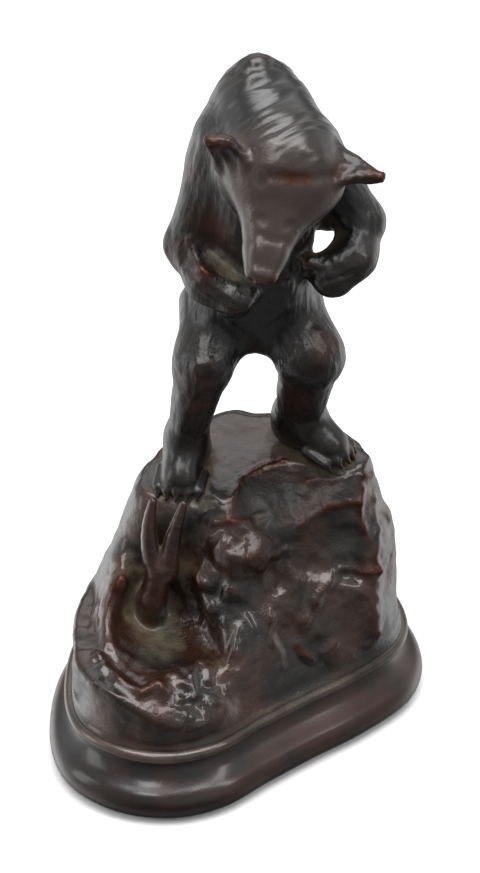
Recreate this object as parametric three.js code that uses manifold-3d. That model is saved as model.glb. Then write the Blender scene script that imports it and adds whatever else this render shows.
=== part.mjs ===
// A bronze bear that stands on a rock and looks down at a claw, on a moulded plinth.
// Lengths are millimetres and +Z is up. The origin is the middle of the plinth's underside.
// The viewer is at -Y, so the bear's right is at -X.
import * as THREE from "three";
import Module from "manifold-3d";

const wasm = await Module();
wasm.setup();

// Moulded base: one outline in plan, and the sizes of the mouldings that run round it
const outlinePoints = [
  [-36.5, -12], [-33.6, -23.8], [-25, -31.2], [-14, -33.4], [-4, -30.5], [5, -23.4], [14.5, -16.2], [26, -8],
  [35, 1], [37, 11], [32.5, 22.5], [20, 31], [4, 33.4], [-13, 29.5], [-27, 18.5], [-34.8, 4],
];
const outlineSteps = 4;
const torusRadius = 4.3;
const torusReach = 3.5;
const coveHeight = 5.0;
const coveInset = 2.4;
const jointGap = 0.3;
const beadRadius = 1.1;
const ledgeInset = 4.5;
const ledgeRise = 0.6;
const coveShoulder = 1;
const coveOverlap = 0.1;
const torusArc = { from: -90, to: 75, steps: 7 };
const beadArc = { from: -90, to: 120, steps: 6 };
const coveSteps = 4;
const rockInset = 2.5;

// Bear's trunk and neck: egg-shaped lumps one above the other, the hollow and the fold of skin
// under the left arm, then the hump and the bowed neck
const trunkLumps = {
  pelvis: { at: [3.8, 19, 95], radii: [11, 11, 11] },
  belly: { at: [4.3, 16, 107], radii: [10.8, 11, 13] },
  chest: { at: [5, 16, 122], radii: [11.5, 11.5, 14] },
  yoke: { at: [4.6, 17.5, 134], radii: [10.5, 10, 11] },
};
const waist = { at: [20.8, 15, 110.6], radii: [6.4, 9, 5.2] };
const armFold = { at: [17.5, 19, 118.4], radii: [5, 3.5, 6] };
const hump = { foot: [4.6, 20.5, 138], top: [3.8, 20, 148.3], footRadius: 8, topRadius: 2.6 };
const nape = { foot: [4.6, 19.5, 141], footRadius: 8.5, topOnHead: [0, -1, -5], topRadius: 10.2 };

// Head: the crown, the nose and the line between the ears give its axes, and its lumps are placed on those
const crown = [10.2, 6, 138];
const nose = [4.9, -10.5, 121.6];
const earLine = [33.2, -1, -7.3];
const skull = { at: [0, 2.5, -4.5], radii: [12, 9.5, 9] };
const cheeks = { from: [0, 5, -5], to: [0, 18, -3.6], fromRadius: 9.2, toRadius: 4 };
const cheekSqueeze = [0.92, 1, 1.15];
const muzzle = { from: [0, 13, -3.2], to: [0, 22, -3], fromRadius: 4.5, toRadius: 3.5 };
const muzzleTop = { at: [0, 20, 0.1], out: [0, 0.1, 1] };
const nosePad = { at: [0, 23.5, -2.3], radii: [3.2, 1.8, 2.2] };
const ears = [
  { rootOnHead: [-9, 0.3, -2.2], tip: [-4.6, 4.0, 142.0], wideOnHead: [0, 1, 0.8] },
  { rootOnHead: [9, -0.2, -2.6], tip: [27.2, 3.1, 134.9], wideOnHead: [0, -1, 0] },
];
const earSize = { rootRadius: 4.6, tipRadius: 1.3, flatness: 1.5 };
const earCup = { place: 0.62, length: 0.38, width: 1.6, depth: 2, offset: -3.2 };

// Limbs: centres of the joints and the radii there
const legs = [
  {
    hip: [-3.8, 17, 93.5], knee: [-6.6, 8.5, 87], ankle: [-10.6, 12, 65], radii: [8, 5.2, 3.9],
    heel: [-10.2, 14, 60.5], ball: [-11.7, 6, 59],
  },
  {
    hip: [10.5, 17, 93], knee: [14.9, 10.5, 87.5], ankle: [13, 18, 66], radii: [7.6, 6.0, 4.0],
    heel: [12.4, 19.5, 63], ball: [19.6, 13.8, 61.4],
  },
];
const sole = { heelRadius: 4.3, ballRadius: 3.4, instepRadius: 3 };
const toe = { count: 5, spread: 3.8, setBack: 1.4, length: 3.4, drop: 1.3, radius: 1.7, tipRadius: 1.3 };
const nail = { start: 0.4, length: 1.8, drop: 1.4, radius: 0.75, tipRadius: 0.3 };
const arms = [
  {
    joints: [[-2.1, 17, 134], [-9.4, 13, 113], [-5.6, 5.5, 108.6], [-0.3, 2.6, 106.8]],
    radii: [6.4, 4.3, 4, 4.2], reach: [1, -0.1, -0.35], palm: [0, 0.3, -1],
  },
  {
    joints: [[15.3, 18, 132.2], [24.7, 15.5, 116.4], [23.2, 9.8, 112], [19.2, 7.6, 109]],
    radii: [5.4, 4.2, 4.3, 4.6], reach: [-0.6, -0.5, -0.55], palm: [-0.6, 0.5, -0.6],
  },
];
const finger = { count: 5, spread: 2.8, start: 1.6, length: 2.2, curl: 1, radius: 1.6, tipRadius: 1.3 };
const thumb = { root: [20, 7.8, 112.4], tip: [14.6, 6.6, 112.3], rootRadius: 2.8, tipRadius: 1.2 };

// How far the seam between two lumps of the bear is smoothed
const seam = {
  trunk: 8, waist: 2.5, armFold: 2, hump: 5, neck: 5, hip: 4, knee: 4, sole: 3, ankle: 2, toe: 0.8, nail: 0.3,
  shoulder: 3.3, elbow: 2.5, thumb: 1.5, finger: 1,
  head: 3, cheeks: 4, muzzle: 2.5, muzzleTop: 1.5, nose: 0.6, ear: 1.5, cup: 0.6,
};

// Rock: a point on each broken face and the way that face looks
const faces = {
  plateau: { at: [5, 15, 58], out: [-0.03, -0.06, 1] },
  back: { at: [4, 31, 17], out: [0, 1, 0.05] },
  backLeft: { at: [-20, 23.5, 17], out: [-0.72, 0.7, 0.2] },
  backRight: { at: [26, 26, 17], out: [0.75, 0.72, 0.14] },
  right: { at: [34.1, 10, 31.6], out: [0.876, -0.416, 0.245] },
  front: { at: [13.2, 1.2, 50], out: [0.35, -0.854, 0.384] },
  hollowSide: { at: [-2, -12.2, 34], out: [-0.787, -0.535, 0.305] },
  left: { at: [-27.4, 5, 37.3], out: [-0.93, -0.05, 0.36] },
  clawWall: { at: [-12, 1.5, 56], out: [-0.12, -0.965, 0.15] },
  flank: { at: [-22.5, -6, 38], out: [0.88, -0.3, 0.37] },
  flankTop: { at: [-24, -4, 42], out: [0.1, -0.64, 0.76] },
  split: { at: [0, 10, 50], out: [1, 0, 0.1] },
  slopeLeft: { at: [13.2, 1.2, 50], out: [0.277, -0.397, 0.876] },
  slopeRight: { at: [13.2, 1.2, 50], out: [-0.14, -0.532, 0.833] },
  recessBack: { at: [19, 0, 40], out: [0.45, -0.954, 0.264] },
  recessRight: { at: [27, 2, 44], out: [1, 0.35, 0] },
  recessFloor: { at: [20, -2, 37], out: [0.35, 0.2, 1] },
  recessLeft: { at: [13, -2, 45], out: [0.9, 0.5, -0.5] },
  terraceTop: { at: [-14, -20, 28.5], out: [0.08, 0, 1] },
  terraceEnd: { at: [0.6, -18, 25], out: [0.72, -0.5, 0.48] },
  terraceSlope: { at: [-6, -19, 28.3], out: [0.3, -0.5, 0.81] },
  skirt: { at: [5, -14.5, 27], out: [0.5, -0.74, 0.45] },
  skirtEnd: { at: [-1.8, -15, 28], out: [-0.97, 0.1, 0.2] },
  skirtTop: { at: [0, 0, 35], out: [0, 0, 1] },
  hollowFloor: { at: [-14, -14, 27.8], out: [0.05, -0.06, 1] },
};
const rockBottom = 14.4;
const hollow = { at: [-16, -12, 35], radii: [10.5, 11, 9] };
const knob = { at: [2.2, -3, 45.6], radii: [7.2, 5, 5.4] };
const rockSeam = {
  back: 4, plateau: 3, edge: 1.5, corner: 2, valley: 5, floor: 3, brow: 6, knob: 2.5, foot: 1.2,
};

// Two-pronged claw that reaches up out of the hollow: a stem, and prongs that bend
const clawStem = {
  joints: [[-18.4, -3.5, 23], [-17.8, -3.8, 34], [-15.8, -3.4, 42.5]], radii: [3.4, 2.8, 2.9],
};
const clawProngs = [
  { start: [-16.6, -3.4, 42], pull: [-19.4, -3.2, 50], end: [-17.2, -1.2, 58.3] },
  { start: [-14.4, -3.4, 42], pull: [-13.4, -3.2, 51], end: [-10.9, -1.2, 57.6] },
];
const prong = { steps: 6, radius: 2.3, tipRadius: 0.7 };
const clawSeam = { stem: 2, prong: 0.1, fork: 0.8, foot: 1.2 };

// Fineness of the cast surface: the sampling step, and how many triangles are kept
const samplingStep = 1.25;
const blockCells = 8;
const boxLow = [-38, -36, 12];
const boxHigh = [38, 38, 154];
const castTriangles = 6700;
const blockReach = 1.35;
const pinchShare = 0.1;
const leastSteadiness = 1e-4;
const leastTurn = 0.3;

// Bronze of each piece
const bronzeMetalness = 0.85;
const castBronze = { colour: 0x2b231d, roughness: 0.38 };
const plinthBronze = { colour: 0x33251c, roughness: 0.34 };

// Small vector helpers
const add = (a, b, scale = 1) => [a[0] + b[0] * scale, a[1] + b[1] * scale, a[2] + b[2] * scale];
const sub = (a, b) => add(a, b, -1);
const dot = (a, b) => a[0] * b[0] + a[1] * b[1] + a[2] * b[2];
const cross = (a, b) => [a[1] * b[2] - a[2] * b[1], a[2] * b[0] - a[0] * b[2], a[0] * b[1] - a[1] * b[0]];
const size = (a) => Math.sqrt(dot(a, a));
const unit = (a) => add([0, 0, 0], a, 1 / size(a));
const square = (a, way) => unit(add(a, way, -dot(a, way)));
const clamp = (x) => Math.min(1, Math.max(0, x));

// Distances to a surface are below zero inside it. These join, overlap and carve two with a soft seam.
function join(a, b, soft) {
  const h = Math.max(soft - Math.abs(a - b), 0) / soft;
  return Math.min(a, b) - (h * h * soft) / 4;
}
const overlap = (a, b, soft) => -join(-a, -b, soft);
const carve = (a, b, soft) => -join(-a, b, soft);

// A round limb that tapers from one joint to the next
function limb(p, a, b, ra, rb) {
  const ab = sub(b, a);
  const ap = sub(p, a);
  const t = clamp(dot(ap, ab) / dot(ab, ab));
  return size(add(ap, ab, -t)) - (ra + (rb - ra) * t);
}

// An egg shape with its three radii along X, Y and Z
function egg(p, at, r) {
  const q = sub(p, at);
  const near = size([q[0] / r[0], q[1] / r[1], q[2] / r[2]]);
  const slope = size([q[0] / r[0] ** 2, q[1] / r[1] ** 2, q[2] / r[2] ** 2]) + 1e-9;
  return (near * (near - 1)) / slope;
}

// Tapering limbs from joint to joint
function chain(p, joints, radii, soft) {
  let d = Infinity;
  for (let i = 0; i < joints.length - 1; i++) {
    const part = limb(p, joints[i], joints[i + 1], radii[i], radii[i + 1]);
    d = i ? join(d, part, soft) : part;
  }
  return d;
}

// Side of a flat face that a point is on
for (const face of [...Object.values(faces), muzzleTop]) face.out = unit(face.out);
const side = (p, face) => dot(sub(p, face.at), face.out);

// Smooth closed curve through the outline points
function smoothOutline(points, steps) {
  const at = (i) => points[(i + points.length) % points.length];
  const mix = (p, t, k) =>
    0.5 * (2 * p[1][k] + (p[2][k] - p[0][k]) * t +
      (2 * p[0][k] - 5 * p[1][k] + 4 * p[2][k] - p[3][k]) * t * t +
      (3 * p[1][k] - p[0][k] - 3 * p[2][k] + p[3][k]) * t ** 3);
  const curve = [];
  for (let i = 0; i < points.length; i++) {
    const near = [at(i - 1), at(i), at(i + 1), at(i + 2)];
    for (let s = 0; s < steps; s++) curve.push([mix(near, s / steps, 0), mix(near, s / steps, 1)]);
  }
  return curve;
}
const outline = smoothOutline(outlinePoints, outlineSteps);

// Distance in plan to the outline, below zero inside
function planDistance(p) {
  let best = Infinity;
  let inside = false;
  for (let i = 0; i < outline.length; i++) {
    const a = outline[i];
    const b = outline[(i + 1) % outline.length];
    const ex = b[0] - a[0];
    const ey = b[1] - a[1];
    const wx = p[0] - a[0];
    const wy = p[1] - a[1];
    const t = clamp((wx * ex + wy * ey) / (ex * ex + ey * ey));
    best = Math.min(best, (wx - t * ex) ** 2 + (wy - t * ey) ** 2);
    if (a[1] > p[1] !== b[1] > p[1] && p[0] < (ex * (p[1] - a[1])) / ey + a[0]) inside = !inside;
  }
  return inside ? -Math.sqrt(best) : Math.sqrt(best);
}

// Trunk from the rump up to the knob of the hump
function trunk(p) {
  let d = Infinity;
  for (const lump of Object.values(trunkLumps)) d = join(d, egg(p, lump.at, lump.radii), seam.trunk);
  d = carve(d, egg(p, waist.at, waist.radii), seam.waist);
  d = join(d, egg(p, armFold.at, armFold.radii), seam.armFold);
  return join(d, limb(p, hump.foot, hump.top, hump.footRadius, hump.topRadius), seam.hump);
}

// Places from -1 to 1 for a row of toes or fingers
const spreadOf = (count) => Array.from({ length: count }, (_, k) => (2 * k) / (count - 1) - 1);
const down = (point, drop) => add(point, [0, 0, -drop]);

// Leg with a bent knee, a flat foot, toes and nails
function leg(p, bones) {
  let d = chain(p, [bones.hip, bones.knee, bones.ankle], bones.radii, seam.knee);
  const foot = join(
    limb(p, bones.heel, bones.ball, sole.heelRadius, sole.ballRadius),
    limb(p, bones.ankle, bones.ball, bones.radii[2], sole.instepRadius),
    seam.sole,
  );
  d = join(d, foot, seam.ankle);
  const line = sub(bones.ball, bones.heel);
  const way = unit([line[0], line[1], 0]);
  const across = cross(way, [0, 0, 1]);
  for (const t of spreadOf(toe.count)) {
    const root = add(add(bones.ball, across, t * toe.spread), way, -toe.setBack * t * t);
    const tip = down(add(root, way, toe.length), toe.drop);
    d = join(d, limb(p, root, tip, toe.radius, toe.tipRadius), seam.toe);
    const nailTip = down(add(tip, way, nail.length), nail.drop);
    d = join(d, limb(p, add(tip, way, nail.start), nailTip, nail.radius, nail.tipRadius), seam.nail);
  }
  return d;
}

// Arm with a bent elbow and a paw whose fingers curl toward the palm
function arm(p, bones) {
  let d = chain(p, bones.joints, bones.radii, seam.elbow);
  const paw = bones.joints[3];
  const way = unit(bones.reach);
  const palm = square(bones.palm, way);
  const across = cross(way, palm);
  for (const t of spreadOf(finger.count)) {
    const root = add(add(paw, across, t * finger.spread), way, finger.start);
    const tip = add(add(root, way, finger.length), palm, finger.curl);
    d = join(d, limb(p, root, tip, finger.radius, finger.tipRadius), seam.finger);
  }
  return d;
}

// The head's own axes: along the muzzle, across to the left ear, and out of the forehead
const muzzleWay = unit(sub(nose, crown));
const acrossWay = square(earLine, muzzleWay);
const browWay = cross(muzzleWay, acrossWay);
const headWay = ([a, m, b]) => add(add(add([0, 0, 0], acrossWay, a), muzzleWay, m), browWay, b);
const onHead = (place) => add(crown, headWay(place));

// Skull and cheeks that taper into the muzzle, with the nose pad at its end
function head(p) {
  const r = sub(p, crown);
  const q = [dot(r, acrossWay), dot(r, muzzleWay), dot(r, browWay)];
  const squeezed = q.map((x, k) => x * cheekSqueeze[k]);
  let d = egg(q, skull.at, skull.radii);
  d = join(d, limb(squeezed, cheeks.from, cheeks.to, cheeks.fromRadius, cheeks.toRadius), seam.cheeks);
  const bar = limb(q, muzzle.from, muzzle.to, muzzle.fromRadius, muzzle.toRadius);
  d = join(d, overlap(bar, side(q, muzzleTop), seam.muzzleTop), seam.muzzle);
  return join(d, egg(q, nosePad.at, nosePad.radii), seam.nose);
}

// Pointed ear, flat from front to back and cupped
function ear(p, shape) {
  const root = onHead(shape.rootOnHead);
  const way = unit(sub(shape.tip, root));
  const wide = square(headWay(shape.wideOnHead), way);
  const thin = cross(way, wide);
  const long = size(sub(shape.tip, root));
  const r = sub(p, root);
  const q = [dot(r, wide), dot(r, way), dot(r, thin) * earSize.flatness];
  const leaf = limb(q, [0, 0, 0], [0, long, 0], earSize.rootRadius, earSize.tipRadius);
  const cupRadii = [earCup.width, long * earCup.length, earCup.depth];
  const cup = egg(q, [0, long * earCup.place, earCup.offset], cupRadii);
  return carve(leaf, cup, seam.cup) / earSize.flatness;
}

// The whole bear
function bear(p) {
  const neck = limb(p, onHead(nape.topOnHead), nape.foot, nape.topRadius, nape.footRadius);
  let d = join(trunk(p), neck, seam.neck);
  for (const bones of legs) d = join(d, leg(p, bones), seam.hip);
  for (const bones of arms) d = join(d, arm(p, bones), seam.shoulder);
  d = join(d, limb(p, thumb.root, thumb.tip, thumb.rootRadius, thumb.tipRadius), seam.thumb);
  d = join(d, head(p), seam.head);
  for (const shape of ears) d = join(d, ear(p, shape), seam.ear);
  return d;
}

// Back of the rock and the plateau that the bear stands on
function rockShell(p) {
  const corners = overlap(side(p, faces.backLeft), side(p, faces.backRight), rockSeam.back);
  const back = overlap(side(p, faces.back), corners, rockSeam.back);
  return overlap(side(p, faces.plateau), back, rockSeam.plateau);
}

// Boulder on the right, with a broken slope under the plateau, a recess below that, a knob and a low skirt
function rightBoulder(p, shell) {
  const block = overlap(shell, side(p, faces.right), rockSeam.edge);
  const front = overlap(side(p, faces.front), side(p, faces.hollowSide), rockSeam.edge);
  const slope = overlap(-side(p, faces.slopeLeft), -side(p, faces.slopeRight), rockSeam.corner);
  const recessEnds = overlap(side(p, faces.recessRight), -side(p, faces.recessLeft), rockSeam.edge);
  const recessSides = overlap(recessEnds, -side(p, faces.recessFloor), rockSeam.floor);
  const recess = overlap(-side(p, faces.recessBack), recessSides, rockSeam.floor);
  const sloped = carve(overlap(block, front, rockSeam.edge), slope, rockSeam.edge);
  const broken = carve(sloped, recess, rockSeam.edge);
  const skirtEnds = overlap(side(p, faces.skirtEnd), side(p, faces.skirtTop), rockSeam.corner);
  const skirt = overlap(overlap(block, side(p, faces.skirt), rockSeam.edge), skirtEnds, rockSeam.edge);
  return join(join(broken, egg(p, knob.at, knob.radii), rockSeam.knob), skirt, rockSeam.corner);
}

// Boulder on the left, with a flank that runs forward beside the hollow
function leftBoulder(p, shell) {
  const flank = overlap(side(p, faces.flank), side(p, faces.flankTop), rockSeam.corner);
  const clawWall = join(side(p, faces.clawWall), flank, rockSeam.floor);
  const left = overlap(shell, side(p, faces.left), rockSeam.plateau);
  return overlap(overlap(left, side(p, faces.split), rockSeam.corner), clawWall, rockSeam.brow);
}

// Both boulders and the low terrace in front, with the hollow sunk between them
function rock(p) {
  const wall = planDistance(p) + rockInset;
  const shell = rockShell(p);
  const boulders = join(rightBoulder(p, shell), leftBoulder(p, shell), rockSeam.valley);
  const slope = overlap(side(p, faces.terraceEnd), side(p, faces.terraceSlope), rockSeam.edge);
  const terrace = overlap(overlap(wall, side(p, faces.terraceTop), rockSeam.edge), slope, rockSeam.edge);
  const bowl = overlap(egg(p, hollow.at, hollow.radii), -side(p, faces.hollowFloor), rockSeam.floor);
  const d = carve(join(boulders, terrace, rockSeam.corner), bowl, rockSeam.corner);
  return Math.max(overlap(d, wall, rockSeam.corner), rockBottom - p[2]);
}

// Points along a bend that starts toward one point and ends at another
const bent = ({ start, pull, end }) =>
  Array.from({ length: prong.steps + 1 }, (_, i) => {
    const t = i / prong.steps;
    return start.map((s, k) => s * (1 - t) ** 2 + 2 * pull[k] * t * (1 - t) + end[k] * t * t);
  });
const prongJoints = clawProngs.map(bent);
const prongTaper = (prong.tipRadius - prong.radius) / prong.steps;
const prongRadii = prongJoints[0].map((_, i) => prong.radius + prongTaper * i);

// The stem with its prongs
function claw(p) {
  let d = chain(p, clawStem.joints, clawStem.radii, clawSeam.stem);
  for (const joints of prongJoints) d = join(d, chain(p, joints, prongRadii, clawSeam.prong), clawSeam.fork);
  return d;
}

// Everything that is cast in one with the rock
const cast = (p) => join(join(bear(p), rock(p), rockSeam.foot), claw(p), clawSeam.foot);

// Samples a distance on a grid of points, block by block where the surface can be
function sampleGrid(field) {
  const reach = samplingStep * blockCells;
  const blocks = boxLow.map((low, k) => Math.ceil((boxHigh[k] - low) / reach));
  const count = blocks.map((n) => n * blockCells + 1);
  const values = new Float32Array(count[0] * count[1] * count[2]).fill(reach);
  const place = (i, j, k) => (i * count[1] + j) * count[2] + k;
  const point = (i, j, k) => [
    boxLow[0] + i * samplingStep, boxLow[1] + j * samplingStep, boxLow[2] + k * samplingStep,
  ];
  const eachBlock = (visit) => {
    for (let i = 0; i < blocks[0]; i++)
      for (let j = 0; j < blocks[1]; j++)
        for (let k = 0; k < blocks[2]; k++) visit(i * blockCells, j * blockCells, k * blockCells);
  };
  const half = blockCells / 2;
  const fill = (i, j, k, value) => {
    for (let a = i; a <= i + blockCells; a++)
      for (let b = j; b <= j + blockCells; b++)
        for (let c = k; c <= k + blockCells; c++) values[place(a, b, c)] = value(a, b, c);
  };
  const middle = (i, j, k) => field(point(i + half, j + half, k + half));
  const near = reach * blockReach;
  eachBlock((i, j, k) => {
    if (middle(i, j, k) < -near) fill(i, j, k, () => -reach);
  });
  eachBlock((i, j, k) => {
    if (Math.abs(middle(i, j, k)) <= near) fill(i, j, k, (a, b, c) => field(point(a, b, c)));
  });
  return { values, count, place, point };
}

// Fills each grid face whose inside corners only touch across its diagonal, so no two sheets share an edge
function closePinches({ values, count, place }) {
  const steps = [[1, 0, 0], [0, 1, 0], [0, 0, 1]];
  const fillFace = (i, j, k, u, v) => {
    const ends = [[0, 0], [1, 0], [1, 1], [0, 1]].map(([a, b]) =>
      place(i + a * u[0] + b * v[0], j + a * u[1] + b * v[1], k + a * u[2] + b * v[2]),
    );
    const inside = ends.map((e) => values[e] < 0);
    if (inside[0] !== inside[2] || inside[1] !== inside[3] || inside[0] === inside[1]) return false;
    const outer = ends.filter((e, n) => !inside[n]);
    values[values[outer[0]] < values[outer[1]] ? outer[0] : outer[1]] = -samplingStep * pinchShare;
    return true;
  };
  let filled = true;
  while (filled) {
    filled = false;
    for (let i = 0; i < count[0] - 1; i++)
      for (let j = 0; j < count[1] - 1; j++)
        for (let k = 0; k < count[2] - 1; k++)
          for (let axis = 0; axis < 3; axis++)
            if (fillFace(i, j, k, steps[(axis + 1) % 3], steps[(axis + 2) % 3])) filled = true;
  }
}

// One vertex in each cell that the surface crosses, and two triangles across each crossed edge of the grid
function surfaceOf(field) {
  const grid = sampleGrid(field);
  closePinches(grid);
  const { values, count, place, point } = grid;
  const number = new Int32Array(values.length).fill(-1);
  const positions = [];
  const triangles = [];
  const corner = (c) => [c >> 2, (c >> 1) & 1, c & 1];
  const vertexOf = (i, j, k) => {
    const sum = [0, 0, 0];
    let crossings = 0;
    for (let c = 0; c < 8; c++)
      for (const bit of [4, 2, 1]) {
        if (c & bit) continue;
        const from = corner(c);
        const to = corner(c | bit);
        const a = values[place(i + from[0], j + from[1], k + from[2])];
        const b = values[place(i + to[0], j + to[1], k + to[2])];
        if (a < 0 === b < 0) continue;
        const t = a / (a - b);
        for (let m = 0; m < 3; m++) sum[m] += from[m] + t * (to[m] - from[m]);
        crossings++;
      }
    if (!crossings) return;
    number[place(i, j, k)] = positions.length;
    positions.push(point(i + sum[0] / crossings, j + sum[1] / crossings, k + sum[2] / crossings));
  };
  const eachCell = (from, visit) => {
    for (let i = from; i < count[0] - 1; i++)
      for (let j = from; j < count[1] - 1; j++) for (let k = from; k < count[2] - 1; k++) visit(i, j, k);
  };
  const steps = [[1, 0, 0], [0, 1, 0], [0, 0, 1]];
  const faceAcross = (i, j, k, axis) => {
    const s = steps[axis];
    const first = values[place(i, j, k)] < 0;
    if (first === values[place(i + s[0], j + s[1], k + s[2])] < 0) return;
    const u = steps[(axis + 1) % 3];
    const v = steps[(axis + 2) % 3];
    const cell = (a, b) =>
      number[place(i - a * u[0] - b * v[0], j - a * u[1] - b * v[1], k - a * u[2] - b * v[2])];
    const loop = [cell(1, 1), cell(0, 1), cell(0, 0), cell(1, 0)];
    if (!first) loop.reverse();
    triangles.push([loop[0], loop[1], loop[2]], [loop[0], loop[2], loop[3]]);
  };
  eachCell(0, vertexOf);
  eachCell(1, (i, j, k) => [0, 1, 2].forEach((axis) => faceAcross(i, j, k, axis)));
  return { positions, triangles };
}

// How far a point is from a set of planes, summed as ten numbers for each vertex
function planeSum(n, d) {
  return [
    n[0] * n[0], n[0] * n[1], n[0] * n[2], n[0] * d, n[1] * n[1], n[1] * n[2], n[1] * d,
    n[2] * n[2], n[2] * d, d * d,
  ];
}
const misfit = (q, p) =>
  q[0] * p[0] * p[0] + 2 * q[1] * p[0] * p[1] + 2 * q[2] * p[0] * p[2] + 2 * q[3] * p[0] +
  q[4] * p[1] * p[1] + 2 * q[5] * p[1] * p[2] + 2 * q[6] * p[1] + q[7] * p[2] * p[2] + 2 * q[8] * p[2] + q[9];

// Merges the two ends of the edge that changes the form least, until few enough triangles are left
function mergeEdges(mesh, target) {
  const points = mesh.positions.map((p) => [...p]);
  const triangles = mesh.triangles.map((t) => [...t]);
  const planes = points.map(() => new Array(10).fill(0));
  const around = points.map(() => new Set());
  const stamp = new Uint32Array(points.length);
  const normalOf = (t, at) => {
    const [a, b, c] = t.map(at);
    return cross(sub(b, a), sub(c, a));
  };
  triangles.forEach((t, i) => {
    const area = normalOf(t, (v) => points[v]);
    const n = unit(area);
    const sum = planeSum(n, -dot(n, points[t[0]])).map((x) => x * size(area));
    for (const v of t) {
      around[v].add(i);
      sum.forEach((x, k) => (planes[v][k] += x));
    }
  });
  const ring = (v) => {
    const found = new Set();
    for (const i of around[v]) for (const w of triangles[i]) if (w !== v) found.add(w);
    return found;
  };
  const heap = [];
  const swap = (i, j) => ([heap[i], heap[j]] = [heap[j], heap[i]]);
  const push = (item) => {
    heap.push(item);
    let i = heap.length - 1;
    while (i && heap[i].cost < heap[(i - 1) >> 1].cost) {
      swap(i, (i - 1) >> 1);
      i = (i - 1) >> 1;
    }
  };
  const pop = () => {
    const top = heap[0];
    const last = heap.pop();
    if (!heap.length) return top;
    heap[0] = last;
    for (let i = 0; ; ) {
      const low = [2 * i + 1, 2 * i + 2].filter((k) => k < heap.length && heap[k].cost < heap[i].cost);
      if (!low.length) return top;
      const next = low.length > 1 && heap[low[1]].cost < heap[low[0]].cost ? low[1] : low[0];
      swap(i, next);
      i = next;
    }
  };
  const offer = (a, b) => {
    const sum = planes[a].map((x, k) => x + planes[b][k]);
    const middle = add(points[a], sub(points[b], points[a]), 0.5);
    const choices = [middle, points[a], points[b]];
    const best = new THREE.Matrix3();
    best.set(sum[0], sum[1], sum[2], sum[1], sum[4], sum[5], sum[2], sum[5], sum[7]);
    const steadiness = Math.abs(best.determinant()) / (sum[0] + sum[4] + sum[7]) ** 3;
    if (steadiness > leastSteadiness)
      choices.push(new THREE.Vector3(-sum[3], -sum[6], -sum[8]).applyMatrix3(best.invert()).toArray());
    const costs = choices.map((c) => misfit(sum, c));
    const pick = costs.indexOf(Math.min(...costs));
    push({ a, b, to: choices[pick], cost: Math.max(costs[pick], 0), mark: [stamp[a], stamp[b]] });
  };
  points.forEach((p, v) => {
    for (const w of ring(v)) if (v < w) offer(v, w);
  });
  const turnsOver = (v, other, to) => {
    for (const i of around[v]) {
      const t = triangles[i];
      if (t.includes(other)) continue;
      const before = unit(normalOf(t, (w) => points[w]));
      const after = normalOf(t, (w) => (w === v ? to : points[w]));
      if (dot(before, after) < leastTurn * size(after)) return true;
    }
    return false;
  };
  let left = triangles.length;
  while (left > target && heap.length) {
    const { a, b, to, mark } = pop();
    if (mark[0] !== stamp[a] || mark[1] !== stamp[b]) continue;
    const nextToB = ring(b);
    const shared = [...ring(a)].filter((v) => nextToB.has(v));
    if (shared.length !== 2 || turnsOver(a, b, to) || turnsOver(b, a, to)) continue;
    points[a] = to;
    planes[a] = planes[a].map((x, k) => x + planes[b][k]);
    for (const i of [...around[b]]) {
      const t = triangles[i];
      if (t.includes(a)) {
        for (const v of t) around[v].delete(i);
        left--;
      } else {
        t[t.indexOf(b)] = a;
        around[a].add(i);
      }
    }
    around[b].clear();
    stamp[b]++;
    stamp[a]++;
    for (const v of ring(a)) offer(a, v);
  }
  const kept = new Set(around.flatMap((set) => [...set]));
  return { positions: points, triangles: [...kept].map((i) => triangles[i]) };
}

// Runs a profile of [offset outwards, height] points round the outline, closed at the bottom and the top
function sweepRound(profile) {
  const count = outline.length;
  const positions = [];
  const triangles = [];
  for (let i = 0; i < count; i++) {
    const before = outline[(i + count - 1) % count];
    const after = outline[(i + 1) % count];
    const along = unit([after[0] - before[0], after[1] - before[1], 0]);
    for (const [out, z] of profile) {
      positions.push([outline[i][0] + along[1] * out, outline[i][1] - along[0] * out, z]);
    }
  }
  const rows = profile.length;
  const bottom = positions.push([0, 0, profile[0][1]]) - 1;
  const top = positions.push([0, 0, profile[rows - 1][1]]) - 1;
  for (let i = 0; i < count; i++) {
    const a = i * rows;
    const b = ((i + 1) % count) * rows;
    triangles.push([bottom, b, a], [top, a + rows - 1, b + rows - 1]);
    for (let k = 0; k < rows - 1; k++) {
      triangles.push([a + k, b + k, b + k + 1], [a + k, b + k + 1, a + k + 1]);
    }
  }
  return { positions, triangles };
}

// Points round part of a circle of a moulding's profile
const arc = (middle, height, radius, { from, to, steps }) =>
  Array.from({ length: steps + 1 }, (_, i) => {
    const angle = THREE.MathUtils.degToRad(from + ((to - from) * i) / steps);
    return [middle + radius * Math.cos(angle), height + radius * Math.sin(angle)];
  });

// Closed solid of a triangle list
function solidOf({ positions, triangles }) {
  const used = [...new Set(triangles.flat())];
  const place = new Map(used.map((v, i) => [v, i]));
  const mesh = new wasm.Mesh({
    numProp: 3,
    vertProperties: new Float32Array(used.flatMap((v) => positions[v])),
    triVerts: new Uint32Array(triangles.flat().map((v) => place.get(v))),
  });
  return new wasm.Manifold(mesh);
}

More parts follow.
